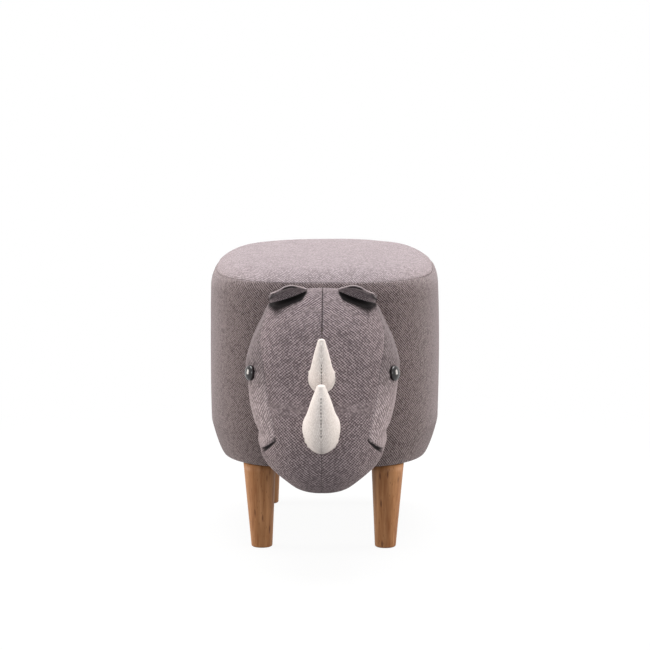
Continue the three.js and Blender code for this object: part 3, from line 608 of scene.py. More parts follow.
@surface
def speckled(node, low, high, grain, roughness, metallic=0.0, stretch=(1, 1, 1)):
    """Plain stock, such as the hidden frame's: a grain of a given size between two tones."""
    place = node("TexCoord")["Object"]
    along = node("Mapping", {"Vector": place, "Scale": stretch})["Vector"]
    tone = node("TexNoise", {"Vector": along, "Scale": 1 / grain, "Detail": 3})["Fac"]
    colour = node("Mix", {0: tone, 6: linear(low), 7: linear(high)}, data_type="RGBA")[2]
    bump = node("Bump", {"Height": tone, "Strength": 0.25, "Distance": 0.2 * MM})["Normal"]
    return {"Base Color": colour, "Roughness": roughness, "Metallic": metallic, "Normal": bump}


@surface
def polished_eye(node):
    """Polystyrene safety eye, moulded and polished: black and glassy, with the faint unevenness of moulding."""
    place = node("TexCoord")["Object"]
    haze = node("TexNoise", {"Vector": place, "Scale": 1 / (6 * MM)})["Fac"]
    rough = node("MapRange", {"Value": haze, "To Min": 0.05, "To Max": 0.12})["Result"]
    return {"Base Color": linear("#171314"), "Roughness": rough, "IOR": 1.55}


face_twill = twill("face_twill", "#3f3538", "#a99b9d", 3.1 * MM, 0.33, 0.42, sheen=0.1)
# The cheeks get a paler copy of the face's twill: painted light, for the side lamps' light on them
cheek_twill = twill("cheek_twill", "#554a4c", "#c4b6b8", 3.1 * MM, 0.28, 0.42, sheen=0.14)
body_twill = twill("body_twill", "#332a2a", "#928585", 2.6 * MM, 0.62, 0.5, sheen=0.55)
# The seat gets a paler copy of the body's twill: painted light, for the top lamp's light on it
seat_twill = twill("seat_twill", "#4f4647", "#b9adb0", 2.6 * MM, 0.22, 0.3, sheen=0.14)
ear_twill = twill("ear_twill", "#40373a", "#92878a", 2.6 * MM, 0.3, 0.4)
cream_twill = twill("cream_twill", "#cfc5be", "#fdf6f1", 2.4 * MM, 0.28, 0.42)
horn_thread = thread("horn_thread", "#2f2721")
lacquered_beech = beech("lacquered_beech")
eye_gloss = polished_eye("eye_gloss")
birch_plywood = speckled("birch_plywood", "#b7935f", "#d8bb88", 6 * MM, 0.7, stretch=(0.1, 1, 1))
sawn_pine = speckled("sawn_pine", "#c39d63", "#e0c48f", 5 * MM, 0.8, stretch=(1, 1, 0.08))
zinc_plate = speckled("zinc_plate", "#9fa3a6", "#c4c7c9", 1.5 * MM, 0.4, metallic=1.0)
seat_foam_cells = speckled("seat_foam_cells", "#ddd4b8", "#efe8d2", 1.2 * MM, 0.95)
loose_fill = speckled("loose_fill", "#e9e8e2", "#f8f8f5", 3 * MM, 1.0)
# Pale rim cloth for the ears' back layer: a painted highlight where the top light catches the edge
turned_edge = speckled("turned_edge", "#9c8f91", "#d6cacc", 2.2 * MM, 0.9)
black_nonwoven = speckled("black_nonwoven", "#141416", "#2c2c30", 1.8 * MM, 0.95)

HIDDEN_FINISHES = {
    "zinc_steel": zinc_plate, "plywood": birch_plywood, "pine_frame": sawn_pine, "foam": seat_foam_cells,
    "polyester_fill": loose_fill, "dust_cloth": black_nonwoven, "upholstery_twill": body_twill,
    "ear_twill": ear_twill, "horn_twill": cream_twill, "beech_wood": lacquered_beech, "eye_gloss": eye_gloss,
}
for row in frame["record"]["subparts"]:
    cad_mesh = frame["nodes"][row["node"]].data
    cad_mesh.materials.clear()
    cad_mesh.materials.append(HIDDEN_FINISHES[row["material_slot"]])


# Body covers


def unevenness(across, along):
    """Slight waves of hand-stretched cloth, between -1 and 1."""
    waves = (
        np.sin(across / (31 * MM) + 1.3 * np.sin(along / (57 * MM)))
        + np.sin(across / (19 * MM) - along / (43 * MM) + 2.1)
        + np.sin(along / (23 * MM) + 1.7 * np.sin(across / (47 * MM)) + 0.6)
    )
    return waves / 3


def roll_line(start, end, count):
    """Insets and heights along the top roll, between shares of it."""
    rise = np.linspace(start * pi / 2, end * pi / 2, count)
    return TOP_ROLL * (1 - np.cos(rise)), EDGE_TOP - TOP_ROLL + TOP_ROLL * np.sin(rise)


def evenly(rows, reach, inset, z, share):
    """Insets, heights and shares of the plan evenly along a line of cloth, and the length up to each."""
    length = np.append(0, np.cumsum(np.hypot(np.diff(reach), np.diff(z))))
    even = np.linspace(0, length[-1], rows)
    return [np.interp(even, length, values) for values in (inset, z, share)] + [even]


def side_profile(rows):
    """Line of the side cover, from the hem up to the top seam."""
    turn = np.linspace(pi / 2, 0, 40)
    low_inset = HEM_DRAW_INSET * (1 - np.abs(np.cos(turn)) ** (2 / HEM_DRAW_POWER))
    low_z = COVER_BOTTOM + HEM_DRAW_HEIGHT * (1 - np.sin(turn) ** (2 / HEM_DRAW_POWER))
    high_inset, high_z = roll_line(0, TOP_SEAM_SHARE, 24)
    inset = np.concatenate([[HEM_DRAW_INSET + HEM_WIDTH], low_inset, high_inset])
    z = np.concatenate([[COVER_BOTTOM], low_z, high_z])
    return evenly(rows, inset, inset, z, np.ones(len(z)))


def top_profile(rows):
    """Line of the top cover, from the top seam to the middle of the seat."""
    roll_inset, roll_z = roll_line(TOP_SEAM_SHARE, 1, 30)
    crown = np.linspace(1, 0, 60)[1:]
    inset = np.append(roll_inset, np.full(59, TOP_ROLL))
    z = np.append(roll_z, EDGE_TOP + CROWN_RISE * (1 - crown**2))
    share = np.append(np.ones(30), crown)
    return evenly(rows, (BODY_WIDTH / 2 - inset) * share, inset, z, share)


def ring_grid(inset, z, share, columns):
    """Grid round the body from a line of insets, heights and shares of the plan."""
    angle = np.linspace(-pi / 2, 3 * pi / 2, columns + 1)
    x, y = plan_points(np.asarray(inset)[:, None], angle[None, :])
    share = np.asarray(share)[:, None]
    x, y = x * share, BODY_CENTRE + (y - BODY_CENTRE) * share
    grid = grid_of(x, y, np.asarray(z)[:, None])
    grid[:, -1] = grid[:, 0]
    return grid


def settle_body():
    """Moves of the side and top covers when the foam pushes them out between their seams."""
    columns, side_rows, top_rows = 150, 40, 26
    *side_line, along = side_profile(side_rows)
    under_line = np.full(12, HEM_DRAW_INSET + HEM_WIDTH), np.full(12, COVER_BOTTOM), np.linspace(0, 1, 12)
    grids = [ring_grid(*line, columns) for line in (side_line, top_profile(top_rows)[:3], under_line)]
    side_held, top_held, under_held = held = [np.zeros(grid.shape[:2], bool) for grid in grids]
    side_held[along < HEM_WIDTH] = side_held[-1] = top_held[0] = under_held[:] = True
    return settled(grids, held, BODY_SWELL)[:2]


def seam_relief(edge, around, from_seam, pucker, pitch):
    """Relief at the top seam: a groove, nearly flat across the front and back, and the puckers beside it."""
    at_side = fade(np.abs(edge[..., 0]), 0.22 * BODY_WIDTH, 0.43 * BODY_WIDTH)
    groove = mix(*TOP_SEAM_DEPTHS, at_side) * bump_at(from_seam, 2.2 * MM)
    return pucker * np.sin(2 * pi * around / pitch) * bump_at(from_seam - 5 * MM, 6 * MM) - groove


def finish_cover(name, grid, weave, cloth):
    """Side or seat panel, which also stands for the foam behind it."""
    grid[:, -1] = grid[:, 0]
    mesh = cloth_mesh(f"{name}_panel", [(grid, weave)])
    nodes = {"side": ["side_cover", "side_foam"], "seat": ["top_cover", "seat_foam"]}[name]
    give_thickness(add_piece(mesh, cloth, nodes), COVER)


def make_body():
    """Side and seat panels, which meet at the top seam."""
    side_move = top_move = start = 0
    side_move, top_move = settle_body()
    side_move = finer(evened(side_move, 6, wrapped=True), SIDE_ROWS, BODY_COLUMNS + 1)
    top_move = finer(evened(top_move, 12, wrapped=True), TOP_ROWS, BODY_COLUMNS + 1)
    start = BODY_START
    girth = run_along(ring_grid([0], [0], [1], BODY_COLUMNS), 1)

    *line, along = side_profile(SIDE_ROWS)
    side = ring_grid(*line, BODY_COLUMNS)
    out = facing(side, wrapped=True)
    around, along = np.broadcast_arrays(girth, along[:, None])
    lift = (
        WAVE_HEIGHT * unevenness(around, along) * fade(along, HEM_WIDTH, HEM_WIDTH + 30 * MM)
        + seam_relief(side[-1:], around, along[-1, 0] - along, 0.28 * MM, 11 * MM)
        - BACK_SEAM_DEPTH * bump_at(around - around[0, -1] / 2, 2.4 * MM)
        - start * fade(along, HEM_WIDTH, HEM_WIDTH + 40 * MM))
    finish_cover("side", side + side_move + out * lift[..., None], grid_of(around, along + 0.5), body_twill)

    inset, z, share, along = top_profile(TOP_ROWS)
    top = ring_grid(inset, z, share, BODY_COLUMNS)
    out = facing(top, wrapped=True)
    out[-1] = (0, 0, 1)
    around, along = np.broadcast_arrays(girth, along[:, None])
    from_centre = top[..., :2] - (0, BODY_CENTRE)
    flat_reach = (BODY_WIDTH / 2 - inset) * share
    longer = along[-1, 0] - along[:, 0] - flat_reach
    distance = np.maximum(np.linalg.norm(from_centre, axis=-1, keepdims=True), 1 * MM)
    weave = from_centre * (1 + longer[:, None, None] / distance) + (0, 0.7)
    lift = 0.4 * MM * unevenness(weave[..., 0], weave[..., 1])
    lift += seam_relief(top[:1], around, along, 0.25 * MM, 12.5 * MM)
    lift[-1] = lift[-1].mean()
    finish_cover("seat", top + top_move + out * (lift - start)[..., None], weave, seat_twill)


# Head


def seam_side(height_share):
    """Share of the half width at which the cheek seam lies, at a share of the head's height."""
    curve = grid_of(*(table_at(values, np.linspace(0, 1, 400)) for values in zip(*CHEEK_SEAM)))
    side, height = np.concatenate([curve, JAW_SEAM]).T
    return np.interp(height_share, height, side)


def head_grids(rows, columns):
    """Face, cheek and back of the right half of the head as grids side by side, split at the cheek seam."""
    level = np.linspace(0, 1, rows)[:, None]
    height_share = drop_share(level)
    width = table_at(HEAD_WIDTH_SHARES, level)
    meet = np.minimum(seam_side(height_share) / np.maximum(width, 1e-6), 1)
    front_turn, back_turn = (
        np.arctan2((1 - meet**power) ** (1 / power), meet) for power in (HEAD_FRONT_POWER, HEAD_BACK_POWER))
    turns = [pi / 2, front_turn, -back_turn, -pi / 2]
    return [
        head_points(mix(start, end, np.linspace(0, 1, count + 1)), level)
        for start, end, count in zip(turns, turns[1:], columns)]


def settle_head():
    """Moves of the right half of the head when its filling pushes the panels out between their seams."""
    grids = head_grids(72, (16, 24, 12))
    stitched = []
    for points in grids:
        mask = points[..., 1] > body_front(points[..., 0], points[..., 2]) - 2 * MM
        mask[[0, 1, -2, -1]] = True
        mask[:, [0, -1]] = True
        stitched.append(mask)
    left = [points[:, ::-1] * (-1, 1, 1) for points in grids]
    return settled(grids + left, stitched + [mask[:, ::-1] for mask in stitched], HEAD_SWELL)[:3]


def eye_frame():
    """Place and outward direction of the right eye, as arrays."""
    level = level_at(EYE_DROP)
    step = 1e-3
    centre = head_points(EYE_TURN, level)
    across = head_points(EYE_TURN + step, level) - head_points(EYE_TURN - step, level)
    down = head_points(EYE_TURN, level + step) - head_points(EYE_TURN, level - step)
    return centre, unit(np.cross(across, down))


def ear_root(along):
    """How far under the head's top the root of an ear lies, from its inner end at 0 to its outer end at 1."""
    return mix(*EAR_DROPS, along**2) + EAR_SAG * np.sin(pi * along)


def folds(points):
    """Relief of the right half of the head, and the painted shade on it.

    It has the fold of the mouth, the crease under the ear, and the tuft at the eye. The painted shade darkens
    the mouth's fold and its inner end, and paints a dark crease and soft shadow under the ear."""
    x = points[..., 0] / (HEAD_WIDTH / 2)
    drop = HEAD_TOP - points[..., 2]
    level = level_at(drop)
    widest = FACE_Y - HEAD_REACH * table_at(HEAD_CENTRE_SHARES, level)
    facing_you = fade(widest - points[..., 1], -3 * MM, 6 * MM)

    start, end = (np.array(place) * (HEAD_WIDTH / 2, HEAD_HEIGHT) for place in MOUTH)
    line = end - start
    to_place = grid_of(points[..., 0], drop) - start
    along = to_place @ line / (line @ line)
    under = (to_place[..., 1] * line[0] - to_place[..., 0] * line[1]) / np.linalg.norm(line)
    in_mouth = fade(along, -0.04, 0.1) * (1 - fade(along, 0.9, 1.1))
    opening = np.clip(along, 0, 1)
    fold = in_mouth * bump_at(under, np.where(under < 0, 1.2 * MM, (1.4 + 1.6 * opening) * MM))
    mouth = -mix(*MOUTH_DEPTHS, opening) * fold
    mouth += 1.2 * MM * in_mouth * bump_at(under + 7 * MM, 5 * MM)
    # painted shade in the mouth's fold and at its inner end
    mouth_painted_shade = in_mouth * np.minimum(1, 4 * bump_at(under - opening * MM, (0.5 + 1.3 * opening) * MM))
    mouth_end_shade = bump_at(along + 0.02, 0.07) * bump_at(under + 1.5 * MM, 2.5 * MM)
    mouth_painted_shade = np.maximum(mouth_painted_shade, 0.8 * mouth_end_shade)

    on_root = (x - EAR_SHARES[0]) / (EAR_SHARES[1] - EAR_SHARES[0])
    below = drop - ear_root(np.clip(on_root, 0, 1))
    from_inner = fade(on_root, -0.02, 0.04)
    under_ear = from_inner * (1 - fade(on_root, 0.94, 1.02))
    opened = fade(on_root, -0.02, 0.16) * (1 - fade(on_root, 0.75, 1))
    into = below - 1.5 * MM * opened
    crease = -EAR_CREASE_DEPTH * under_ear * bump_at(into, np.where(into < 0, 1.5 + opened, 1.5 + 3 * opened) * MM)
    shadow = (1 + 2 * opened + 6 * bump_at(on_root - 0.86, 0.26)) * MM
    # painted shadow: a dark band right under the ear's root and a soft shadow below it
    ear_painted_shadow = from_inner * bump_at(np.maximum(below - (0.5 + 5 * opened) * MM, 0), shadow)
    ear_painted_shadow = ear_painted_shadow * (1 - fade(on_root, 0.98, 1.2)) * fade(below, -3 * MM, -1 * MM)

    from_eye = points - eye_frame()[0]
    distance = np.linalg.norm(from_eye, axis=-1)
    turn = np.arctan2(from_eye[..., 2], from_eye[..., 1])
    tuft = -EYE_TUFT_DEPTH * bump_at(distance, 13 * MM)
    tuft += 0.7 * MM * np.sin(8 * turn + 0.6) * bump_at(distance - 14 * MM, 5 * MM)
    return (mouth + crease) * facing_you + tuft, np.maximum(mouth_painted_shade, ear_painted_shadow) * facing_you


def make_head():
    """Face and cheek panels of both sides, with their seams, folds and swellings."""
    grids = head_grids(HEAD_ROWS, HEAD_COLUMNS.values())
    grids = [
        points + finer(evened(move, 2), HEAD_ROWS, points.shape[1])
        for points, move in zip(grids, settle_head())]
    level = np.linspace(0, 1, HEAD_ROWS)[:, None]
    height_share = drop_share(level)
    down = run_along(grids[0][:, :1], 0)
    flip = np.interp(FLIP_SHARE, height_share[:, 0], down[:, 0])
    apart = table_at(HEAD_WIDTH_SHARES, level) > seam_side(height_share)
    half_width = HEAD_WIDTH / 2 * np.maximum(table_at(HEAD_WIDTH_SHARES, level), 0.05)

    pieces = {}
    for name, points in zip(HEAD_COLUMNS, grids):
        out = -facing(points)
        length = run_along(points, 1)
        left = length[:, -1:] - length
        near = {"face": left, "cheek": np.minimum(length, left), "back": length}[name]
        # depth is the painted shade of each point, which becomes the fold attribute
        relief, depth = folds(points)
        lift = relief - CHEEK_SEAM_DEPTH * np.where(apart, bump_at(near, 1.8 * MM), 0)
        aside = fade(points[..., 0] / half_width, 0.75, 0.97)
        lift = lift + aside * sum(rise * bump_at(height_share - middle, spread) for middle, spread, rise in JOWLS)
        # painted shade on the upper part of the panel
        depth = np.maximum(depth, UPPER_PANEL_PAINTED_SHADE[name] * (1 - fade(height_share, 0.34, 0.56)))
        if name == "face":
            on_forehead = 1 - fade(height_share, 0.16, 0.22)
            lift = lift - (0.2 + 0.8 * on_forehead) * MM * bump_at(length, 1.4 * MM)
            # painted shade down the forehead's centre seam
            depth = np.maximum(depth, 0.75 * on_forehead * bump_at(length, 0.9 * MM))
        if name == "cheek":
            gathers = np.sin(2 * pi * down / (4.2 * MM)) * bump_at(height_share - 0.67, 0.03)
            lift = lift + 0.6 * MM * gathers * bump_at(length - 6 * MM, 7 * MM)
        lift = lift + WAVE_HEIGHT * unevenness(points[..., 2], points[..., 0] + 0.3) * fade(near, 0, 12 * MM)
        lift = lift * np.sin(pi * np.clip(level, 0.02, 0.98)) ** 0.5
        shaped = in_front(points + out * lift[..., None], body_front)
        shaped[..., 0] = np.maximum(shaped[..., 0], SEAM_GAP / 2)
        shaped[[0, -1]] = shaped[[0, -1]].mean(axis=1, keepdims=True)
        shaped[[0, -1], :, 0] = SEAM_GAP / 2
        across = {"face": length, "cheek": -length, "back": 0.1 - length}[name]
        along = down - flip + (0 if name == "face" else 0.5)
        pieces[name] = (shaped, grid_of(across, along), depth)

    apex = int(np.argmax(apart[:, 0]))
    chin = HEAD_ROWS - int(np.argmax(apart[::-1, 0]))
    cheek_part = [grid[apex - 1:chin + 1] for grid in pieces["cheek"]]
    for side, sign in SIDES:
        for name, grids in (("face", [pieces["face"], pieces["back"]]), ("cheek", [cheek_part])):
            other_cloth = (0 if sign > 0 else 0.37, 0)
            parts = [
                ((points * (sign, 1, 1))[:, ::-sign], weave[:, ::-sign] + other_cloth)
                for points, weave, depth in grids]
            painted_shade = [depth[:, ::-sign] for points, weave, depth in grids]
            mesh = cloth_mesh(f"{name}_panel_{side}", parts, painted_shade=painted_shade)
            nodes = [f"{name}_{side}"] + (["head_stuffing"] if name == "face" else [])
            cloth = face_twill if name == "face" else cheek_twill
            give_thickness(add_piece(mesh, cloth, nodes), COVER)


# Eyes


def make_eyes():
    """Domed eyes with a rounded rim, sunk a little into the cheeks."""
    centre, out = eye_frame()
    turned = np.array(Vector(out).to_track_quat("Z", "Y").to_matrix()).T
    turn = np.linspace(0, pi / 2, 14)
    profile = [(0, -2 * MM), (EYE_RADIUS - 0.4 * MM, -2 * MM), (EYE_RADIUS, -1.6 * MM)]
    profile += [(EYE_RADIUS * cos(t), EYE_RIM + (EYE_HEIGHT - EYE_RIM) * sin(t)) for t in turn[:-1]]
    dome = turned_grid(profile + [(0, EYE_HEIGHT)], 48)
    placed = dome @ turned + centre
    for side, sign in SIDES:
        mesh = cloth_mesh(f"eye_dome_{side}", [(placed * (sign, 1, 1), unrolled(dome))], closed=True)
        add_piece(mesh, eye_gloss, [f"eye_{side}"])


# Ears


def ear_grid(height, splay):
    """Right ear's layer at a height over its front face; splay lifts its free edge, most at its outer end.

    Also gives painted shade along the lining's free edge and outer end, standing in for the gap between the two
    layers."""
    along = np.linspace(0, 1, 57)[:, None]
    across = np.linspace(0, 1, 17)[None, :]
    x = HEAD_WIDTH / 2 * mix(*EAR_SHARES, along)
    drop = ear_root(along)
    root = grid_of(x, head_front(x, HEAD_TOP - drop), HEAD_TOP - drop)
    point = unit(np.array(EAR_POINT))
    up = unit(np.cross((1, 0, -EAR_DROPS[1] / HEAD_WIDTH), point))
    width = EAR_WIDTH * mix(EAR_TIP_SHARE, 1, np.sin(pi * along) ** EAR_ROUNDNESS)
    width = width * (0.3 + 0.3 * fade(along, 0, 0.12) + 0.4 * fade(along, 0.05, 0.4))
    bow = EAR_BOW * np.sin(pi * across) * np.sin(pi * along)
    opened = fade(along, 0.74, 0.95) + 0.4 * fade(along, 0.1, 0.3) * (1 - fade(along, 0.5, 0.62))
    lift = height + bow + splay * opened * fade(across, 0.2, 1)
    reach = SEAM_GAP + width * across
    points = root + point * reach[..., None] - up * lift[..., None]
    weave = grid_of(run_along(points, 0), across * EAR_WIDTH + 0.5)
    # painted shade of the gap between the layers
    shade = np.minimum(1, 2.4 * opened) * fade(across, 0.84, 0.98)
    shade = np.maximum(shade, fade(along, 0.83, 0.93) * fade(across, 0.35, 0.65))
    return in_front(points, body_front), weave, shade


def make_ears():
    """Two layers to each ear; the inner one carries painted shade from the gap, and the back one's turned edge has
    a paler cloth, a painted highlight.
    """
    layers = (("inner", "ear_lining", 0, 0), ("back", "ear_outer", EAR_LAYER + 2 * SEAM_GAP, EAR_SPLAY))
    for layer, node, height, splay in layers:
        points, weave, shade = ear_grid(height, splay)
        for side, sign in SIDES:
            part = ((points * (sign, 1, 1))[:, ::sign], weave[:, ::sign])
            painted_shade = [shade[:, ::sign]] if layer == "inner" else None
            mesh = cloth_mesh(f"ear_{layer}_{side}", [part], painted_shade=painted_shade)
            piece = add_piece(mesh, ear_twill, [f"{node}_{side}"])
            wall = give_thickness(piece, EAR_LAYER, offset=1)
            # painted highlight: the rim of the back layer gets the paler turned_edge cloth
            if layer == "back":
                mesh.materials.append(turned_edge)
                wall.material_offset_rim = 1
            edge = piece.modifiers.new("turned_edge", "BEVEL")
            edge.width = 0.9 * MM
            edge.segments = 3
            edge.angle_limit = radians(50)


# Horns


def round_line(centre, tangent, across, over):
    """Grid round a line in the plane between left and right, from its reach across that plane and in it."""
    points = centre[:, None, :] + np.cross((1, 0, 0), tangent)[:, None, :] * over[..., None]
    points[..., 0] = across
    return points


def horn_grid(horn, rows=64, columns=36):
    """Right half of a horn, from its root to its tip and from its hollow upper side round to its front."""
    start_z = HEAD_TOP - horn["drop"]
    half_width, half_depth = horn["width"] / 2, horn["depth"] / 2
    root, bend, tip = (np.array([0, head_front(0, start_z) + out, start_z + up]) for out, up in (
        (horn["root"], 0), (-horn["reach"], -horn["dip"]), (-horn["reach"], horn["rise"])))
    t = np.linspace(0, 1, rows)[:, None]
    centre = (1 - t) ** 2 * root + 2 * t * (1 - t) * bend + t**2 * tip
    tangent = unit((1 - t) * (bend - root) + t * (tip - bend))
    size = table_at(horn["taper"], t)
    cap = np.linspace(0, pi / 2, 10)[1:, None]
    centre = np.concatenate([centre, tip + tangent[-1] * (half_width * size[-1] / 2 * np.sin(cap))])
    tangent = np.concatenate([tangent, np.repeat(tangent[-1:], len(cap), axis=0)])
    size = np.concatenate([size, size[-1] * np.cos(cap)])
    angle = np.linspace(-pi / 2, pi / 2, columns + 1)
    from_seam = (pi / 2 - np.abs(angle)) * half_width * np.maximum(size, 0.2)
    over = size * np.sin(angle) * (half_depth - 0.5 * MM * bump_at(from_seam, 1.6 * MM))
    across = np.maximum(half_width * size * np.cos(angle), 0.02 * MM)
    return round_line(centre, tangent, across, over)


def stitch_tree():
    """Geometry Nodes tree: stitches of a length, apart by a pitch, along a curve."""
    tree = bpy.data.node_groups.new("stitch_run", "GeometryNodeTree")
    kinds = {"Seam": "Geometry", "Pitch": "Float", "Length": "Float", "Radius": "Float", "Thread": "Material"}
    for name, kind in kinds.items():
        tree.interface.new_socket(name, in_out="INPUT", socket_type="NodeSocket" + kind)
    tree.interface.new_socket("Stitches", in_out="OUTPUT", socket_type="NodeSocketGeometry")
    node = partial(add_node, tree)
    given = node("NodeGroupInput")
    places = node("GeometryNodeCurveToPoints", {"Curve": given["Seam"], "Length": given["Pitch"]}, mode="LENGTH")
    turned = node("FunctionNodeAlignRotationToVector", {"Vector": places["Tangent"]}, axis="Z")["Rotation"]
    body = node("GeometryNodeMeshUVSphere", {"Segments": 8, "Rings": 6, "Radius": 1.0})["Mesh"]
    size = node("CombineXYZ", {"X": given["Radius"], "Y": given["Radius"], "Z": given["Length"]})["Vector"]
    copies = node("GeometryNodeInstanceOnPoints", {
        "Points": places["Points"], "Instance": body, "Rotation": turned, "Scale": size})["Instances"]
    real = node("GeometryNodeRealizeInstances", {"Geometry": copies})["Geometry"]
    painted = node("GeometryNodeSetMaterial", {"Geometry": real, "Material": given["Thread"]})["Geometry"]
    node("NodeGroupOutput", {"Stitches": painted})
    return tree


def stitched_seam(name, line, tree):
    """A run of stitches along a line of points, as a plain mesh."""
    curve = bpy.data.curves.new(name, "CURVE")
    curve.dimensions = "3D"
    spline = curve.splines.new("POLY")
    spline.points.add(len(line) - 1)
    for point, place in zip(spline.points, line):
        point.co = (*place, 1)
    run = put_in_scene(name, curve)
    modifier = run.modifiers.new("stitches", "NODES")
    modifier.node_group = tree
    sizes = {"Pitch": STITCH_PITCH, "Length": STITCH_LENGTH / 2, "Radius": STITCH_RADIUS, "Thread": horn_thread}
    for socket in tree.interface.items_tree:
        if socket.name in sizes:
            modifier[socket.identifier] = sizes[socket.name]
    shape = run.evaluated_get(bpy.context.evaluated_depsgraph_get())
    mesh = bpy.data.meshes.new_from_object(shape)
    mesh.name = name
    bpy.data.objects.remove(run)
    bpy.data.curves.remove(curve)
    add_piece(mesh, horn_thread, [])


def make_horns():
    """Horns of two panels each, with a row of stitches over their front seam."""
    tree = stitch_tree()
    for name, horn in (("front_horn", FRONT_HORN), ("rear_horn", REAR_HORN)):
        points = horn_grid(horn)
        shaped, flat = in_front(points, head_front), unrolled(points)
        for side, sign in SIDES:
            mesh = cloth_mesh(f"{name}_panel_{side}", [((shaped * (sign, 1, 1))[:, ::-sign], flat[:, ::-sign])])
            piece = add_piece(mesh, cream_twill, [f"{name}_{side}", f"{name}_stuffing"])
            give_thickness(piece, HORN_CLOTH)
        front = shaped[:, -1] * (0, 1, 1)
        front = front[front[:, 1] < head_front(0, front[:, 2]) - 2 * MM]
        height = (front[:, 2] - front[:, 2].min()) / np.ptp(front[:, 2])
        low, high = horn["stitches"]
        stitched_seam(f"{name}_stitches", front[(height > low) & (height < high)], tree)


# Tail


def make_tail():
    """Strap of the body's cloth that hangs at the back, with a tuft at its end."""
    standoff = TAIL_TUFT["thickness"] / 2 + SEAM_GAP * 2
    back = BODY_CENTRE + BODY_LENGTH / 2
    line = [
        (0, back + max(away * standoff, 0.15 * MM), BODY_TOP - TAIL_DROP - down * TAIL_LENGTH)
        for away, down in TAIL_LINE]
    place = np.linspace(0, 1, 80)[:, None]
    centre = grid_of(*(table_at(values, place[:, 0]) for values in zip(*line)))
    tuft = np.clip((place - TAIL_TUFT["start"]) / (1 - TAIL_TUFT["start"]), 0, TAIL_TUFT["end"])
    swell = np.sin(pi * tuft)
    half_width = mix(TAIL_WIDTH, TAIL_TUFT["width"], swell) / 2
    half_depth = mix(TAIL_THICKNESS, TAIL_TUFT["thickness"], swell) / 2
    half_width[[0, -1]] = half_depth[[0, -1]] = 0
    angle = np.linspace(0, 2 * pi, 33)
    tangent = unit(np.gradient(centre, axis=0))
    points = round_line(centre, tangent, half_width * np.cos(angle), half_depth * np.sin(angle))
    points[..., 1] = np.maximum(points[..., 1], back + 0.2 * MM)
    mesh = cloth_mesh("tail_strap", [(points, unrolled(points, 0.5))], closed=True)
    add_piece(mesh, body_twill, ["tail"])


# Legs


def make_legs():
    """Turned legs that lean inwards to the foot, with the bore of their bolt at the top."""
    turn = np.linspace(0, pi / 2, 8)
    height = FOOT_EDGE * (1 - np.sin(turn))
    slope = (LEG_TOP_RADIUS - LEG_FOOT_RADIUS) / LEG_LENGTH
    edge = grid_of(LEG_FOOT_RADIUS + slope * height - FOOT_EDGE * (1 - np.cos(turn)), height)
    taper = np.linspace((LEG_TOP_RADIUS, LEG_LENGTH), edge[0], 12, endpoint=False)
    bore, bore_depth = LEG_BORE
    bored = [(0, LEG_LENGTH - bore_depth), (bore, LEG_LENGTH - bore_depth), (bore, LEG_LENGTH)]
    leg = turned_grid([*bored, *taper, *edge, (0, 0)], 56)
    for place in ("front_right", "front_left", "rear_right", "rear_left"):
        low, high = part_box(f"leg_{place}")
        from_middle = max(-low.x, high.x) - LEG_TOP_RADIUS - LEG_LEAN * (1 - leg[..., 2] / LEG_LENGTH)
        moved = leg + (0, (low.y + high.y) / 2, 0)
        moved[..., 0] += from_middle if place.endswith("right") else -from_middle
        mesh = cloth_mesh(f"turned_leg_{place}", [(moved, unrolled(leg))], closed=True)
        add_piece(mesh, lacquered_beech, [f"leg_{place}"])


# Floor, light and camera


def seen_ray(node):
    """1 for the rays that are shown the white studio: the camera's, and those of gloss and of clear parts."""
    rays = node("LightPath")
    seen = node("Math", {0: rays["Is Camera Ray"], 1: rays["Is Glossy Ray"]}, operation="MAXIMUM")[0]
    return node("Math", {0: seen, 1: rays["Is Transmission Ray"]}, operation="MAXIMUM")[0]


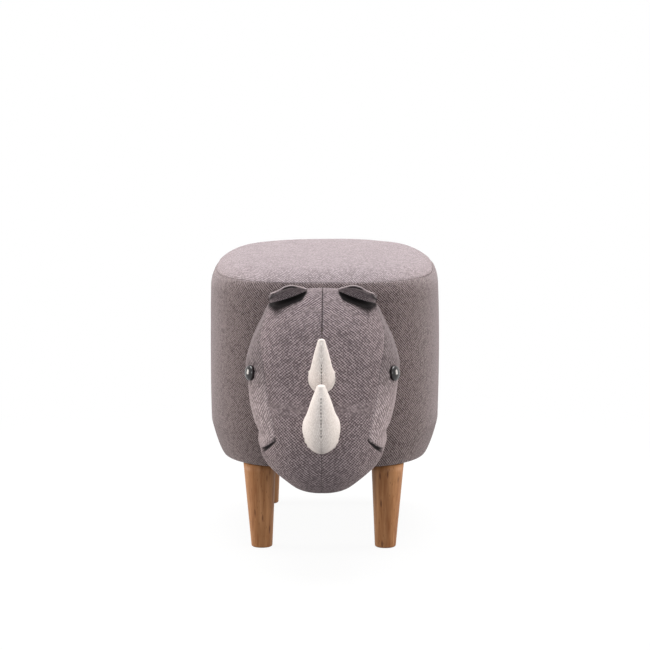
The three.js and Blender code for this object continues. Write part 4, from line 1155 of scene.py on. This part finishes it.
def make_floor():
    """Pale studio floor, lit by its own colour far out and keeping the stool's shadow near it."""
    material, node = start_material("studio_floor")
    place = node("TexCoord")["Object"]
    distance = node("VectorMath", {0: place}, operation="LENGTH")["Value"]
    far = node("MapRange", {"Value": distance, "From Min": 0.45, "From Max": 1.1},
        interpolation_type="SMOOTHSTEP")["Result"]
    near_glow = node("Emission", {"Strength": FLOOR_GLOW})[0]
    near_cloth = node("BsdfDiffuse", {"Color": (FLOOR_SHADE,) * 3 + (1,)})[0]
    near = node("AddShader", {0: near_glow, 1: near_cloth})[0]
    white = node("Emission")[0]
    shown = node("MixShader", {0: far, 1: near, 2: white})[0]
    lit = node("BsdfDiffuse", {"Color": (FLOOR_BOUNCE,) * 3 + (1,)})[0]
    node("OutputMaterial", {"Surface": node("MixShader", {0: seen_ray(node), 1: lit, 2: shown})[0]})
    mesh = bpy.data.meshes.new("studio_floor")
    corners = [(x * FLOOR_REACH, y * FLOOR_REACH, 0) for x, y in ((-1, -1), (1, -1), (1, 1), (-1, 1))]
    mesh.from_pydata(corners, [], [(0, 1, 2, 3)])
    mesh.materials.append(material)
    floor = put_in_scene("studio_floor", mesh)
    floor.location.z = -0.5 * MM


def make_light():
    """White studio, seen but hardly lighting, and four soft lamps."""
    world = bpy.data.worlds.new("studio")
    bpy.context.scene.world = world
    world.use_nodes = True
    world.node_tree.nodes.clear()
    node = partial(add_node, world.node_tree)
    white = node("Background", {"Color": (1, 1, 1, 1), "Strength": 1})[0]
    fill = node("Background", {"Color": linear("#fdfcff"), "Strength": STUDIO_FILL})[0]
    shown = node("MixShader", {0: seen_ray(node), 1: fill, 2: white})[0]
    node("OutputWorld", {"Surface": shown})
    for name, (place, width, height, watts, colour) in SOFTBOXES.items():
        light = bpy.data.lights.new(name, "AREA")
        light.shape = "RECTANGLE"
        light.size, light.size_y = width, height
        light.energy = watts
        light.color = linear(colour)[:3]
        lamp = put_in_scene(name, light)
        lamp.location = place
        lamp.rotation_euler = (Vector((0, BODY_CENTRE, 0.25)) - lamp.location).to_track_quat("-Z", "Y").to_euler()


def make_camera():
    """The photograph's camera, fitted to the lines of the stool."""
    data = bpy.data.cameras.new("photo_camera")
    data.lens = FOCAL_PIXELS / PICTURE_PIXELS * data.sensor_width
    data.clip_end = 60
    camera = put_in_scene("photo_camera", data)
    across, back = CAMERA_DISTANCE * sin(CAMERA_TURN), CAMERA_DISTANCE * cos(CAMERA_TURN)
    camera.location = (across, BODY_CENTRE - back, CAMERA_HEIGHT)
    camera.rotation_euler = (pi / 2 - CAMERA_PITCH, 0, CAMERA_TURN)
    bpy.context.scene.camera = camera


for make in (
        make_body, make_head, make_eyes, make_ears, make_horns, make_tail, make_legs, make_floor, make_light,
        make_camera):
    make()
bpy.context.scene.view_settings.view_transform = "Standard"
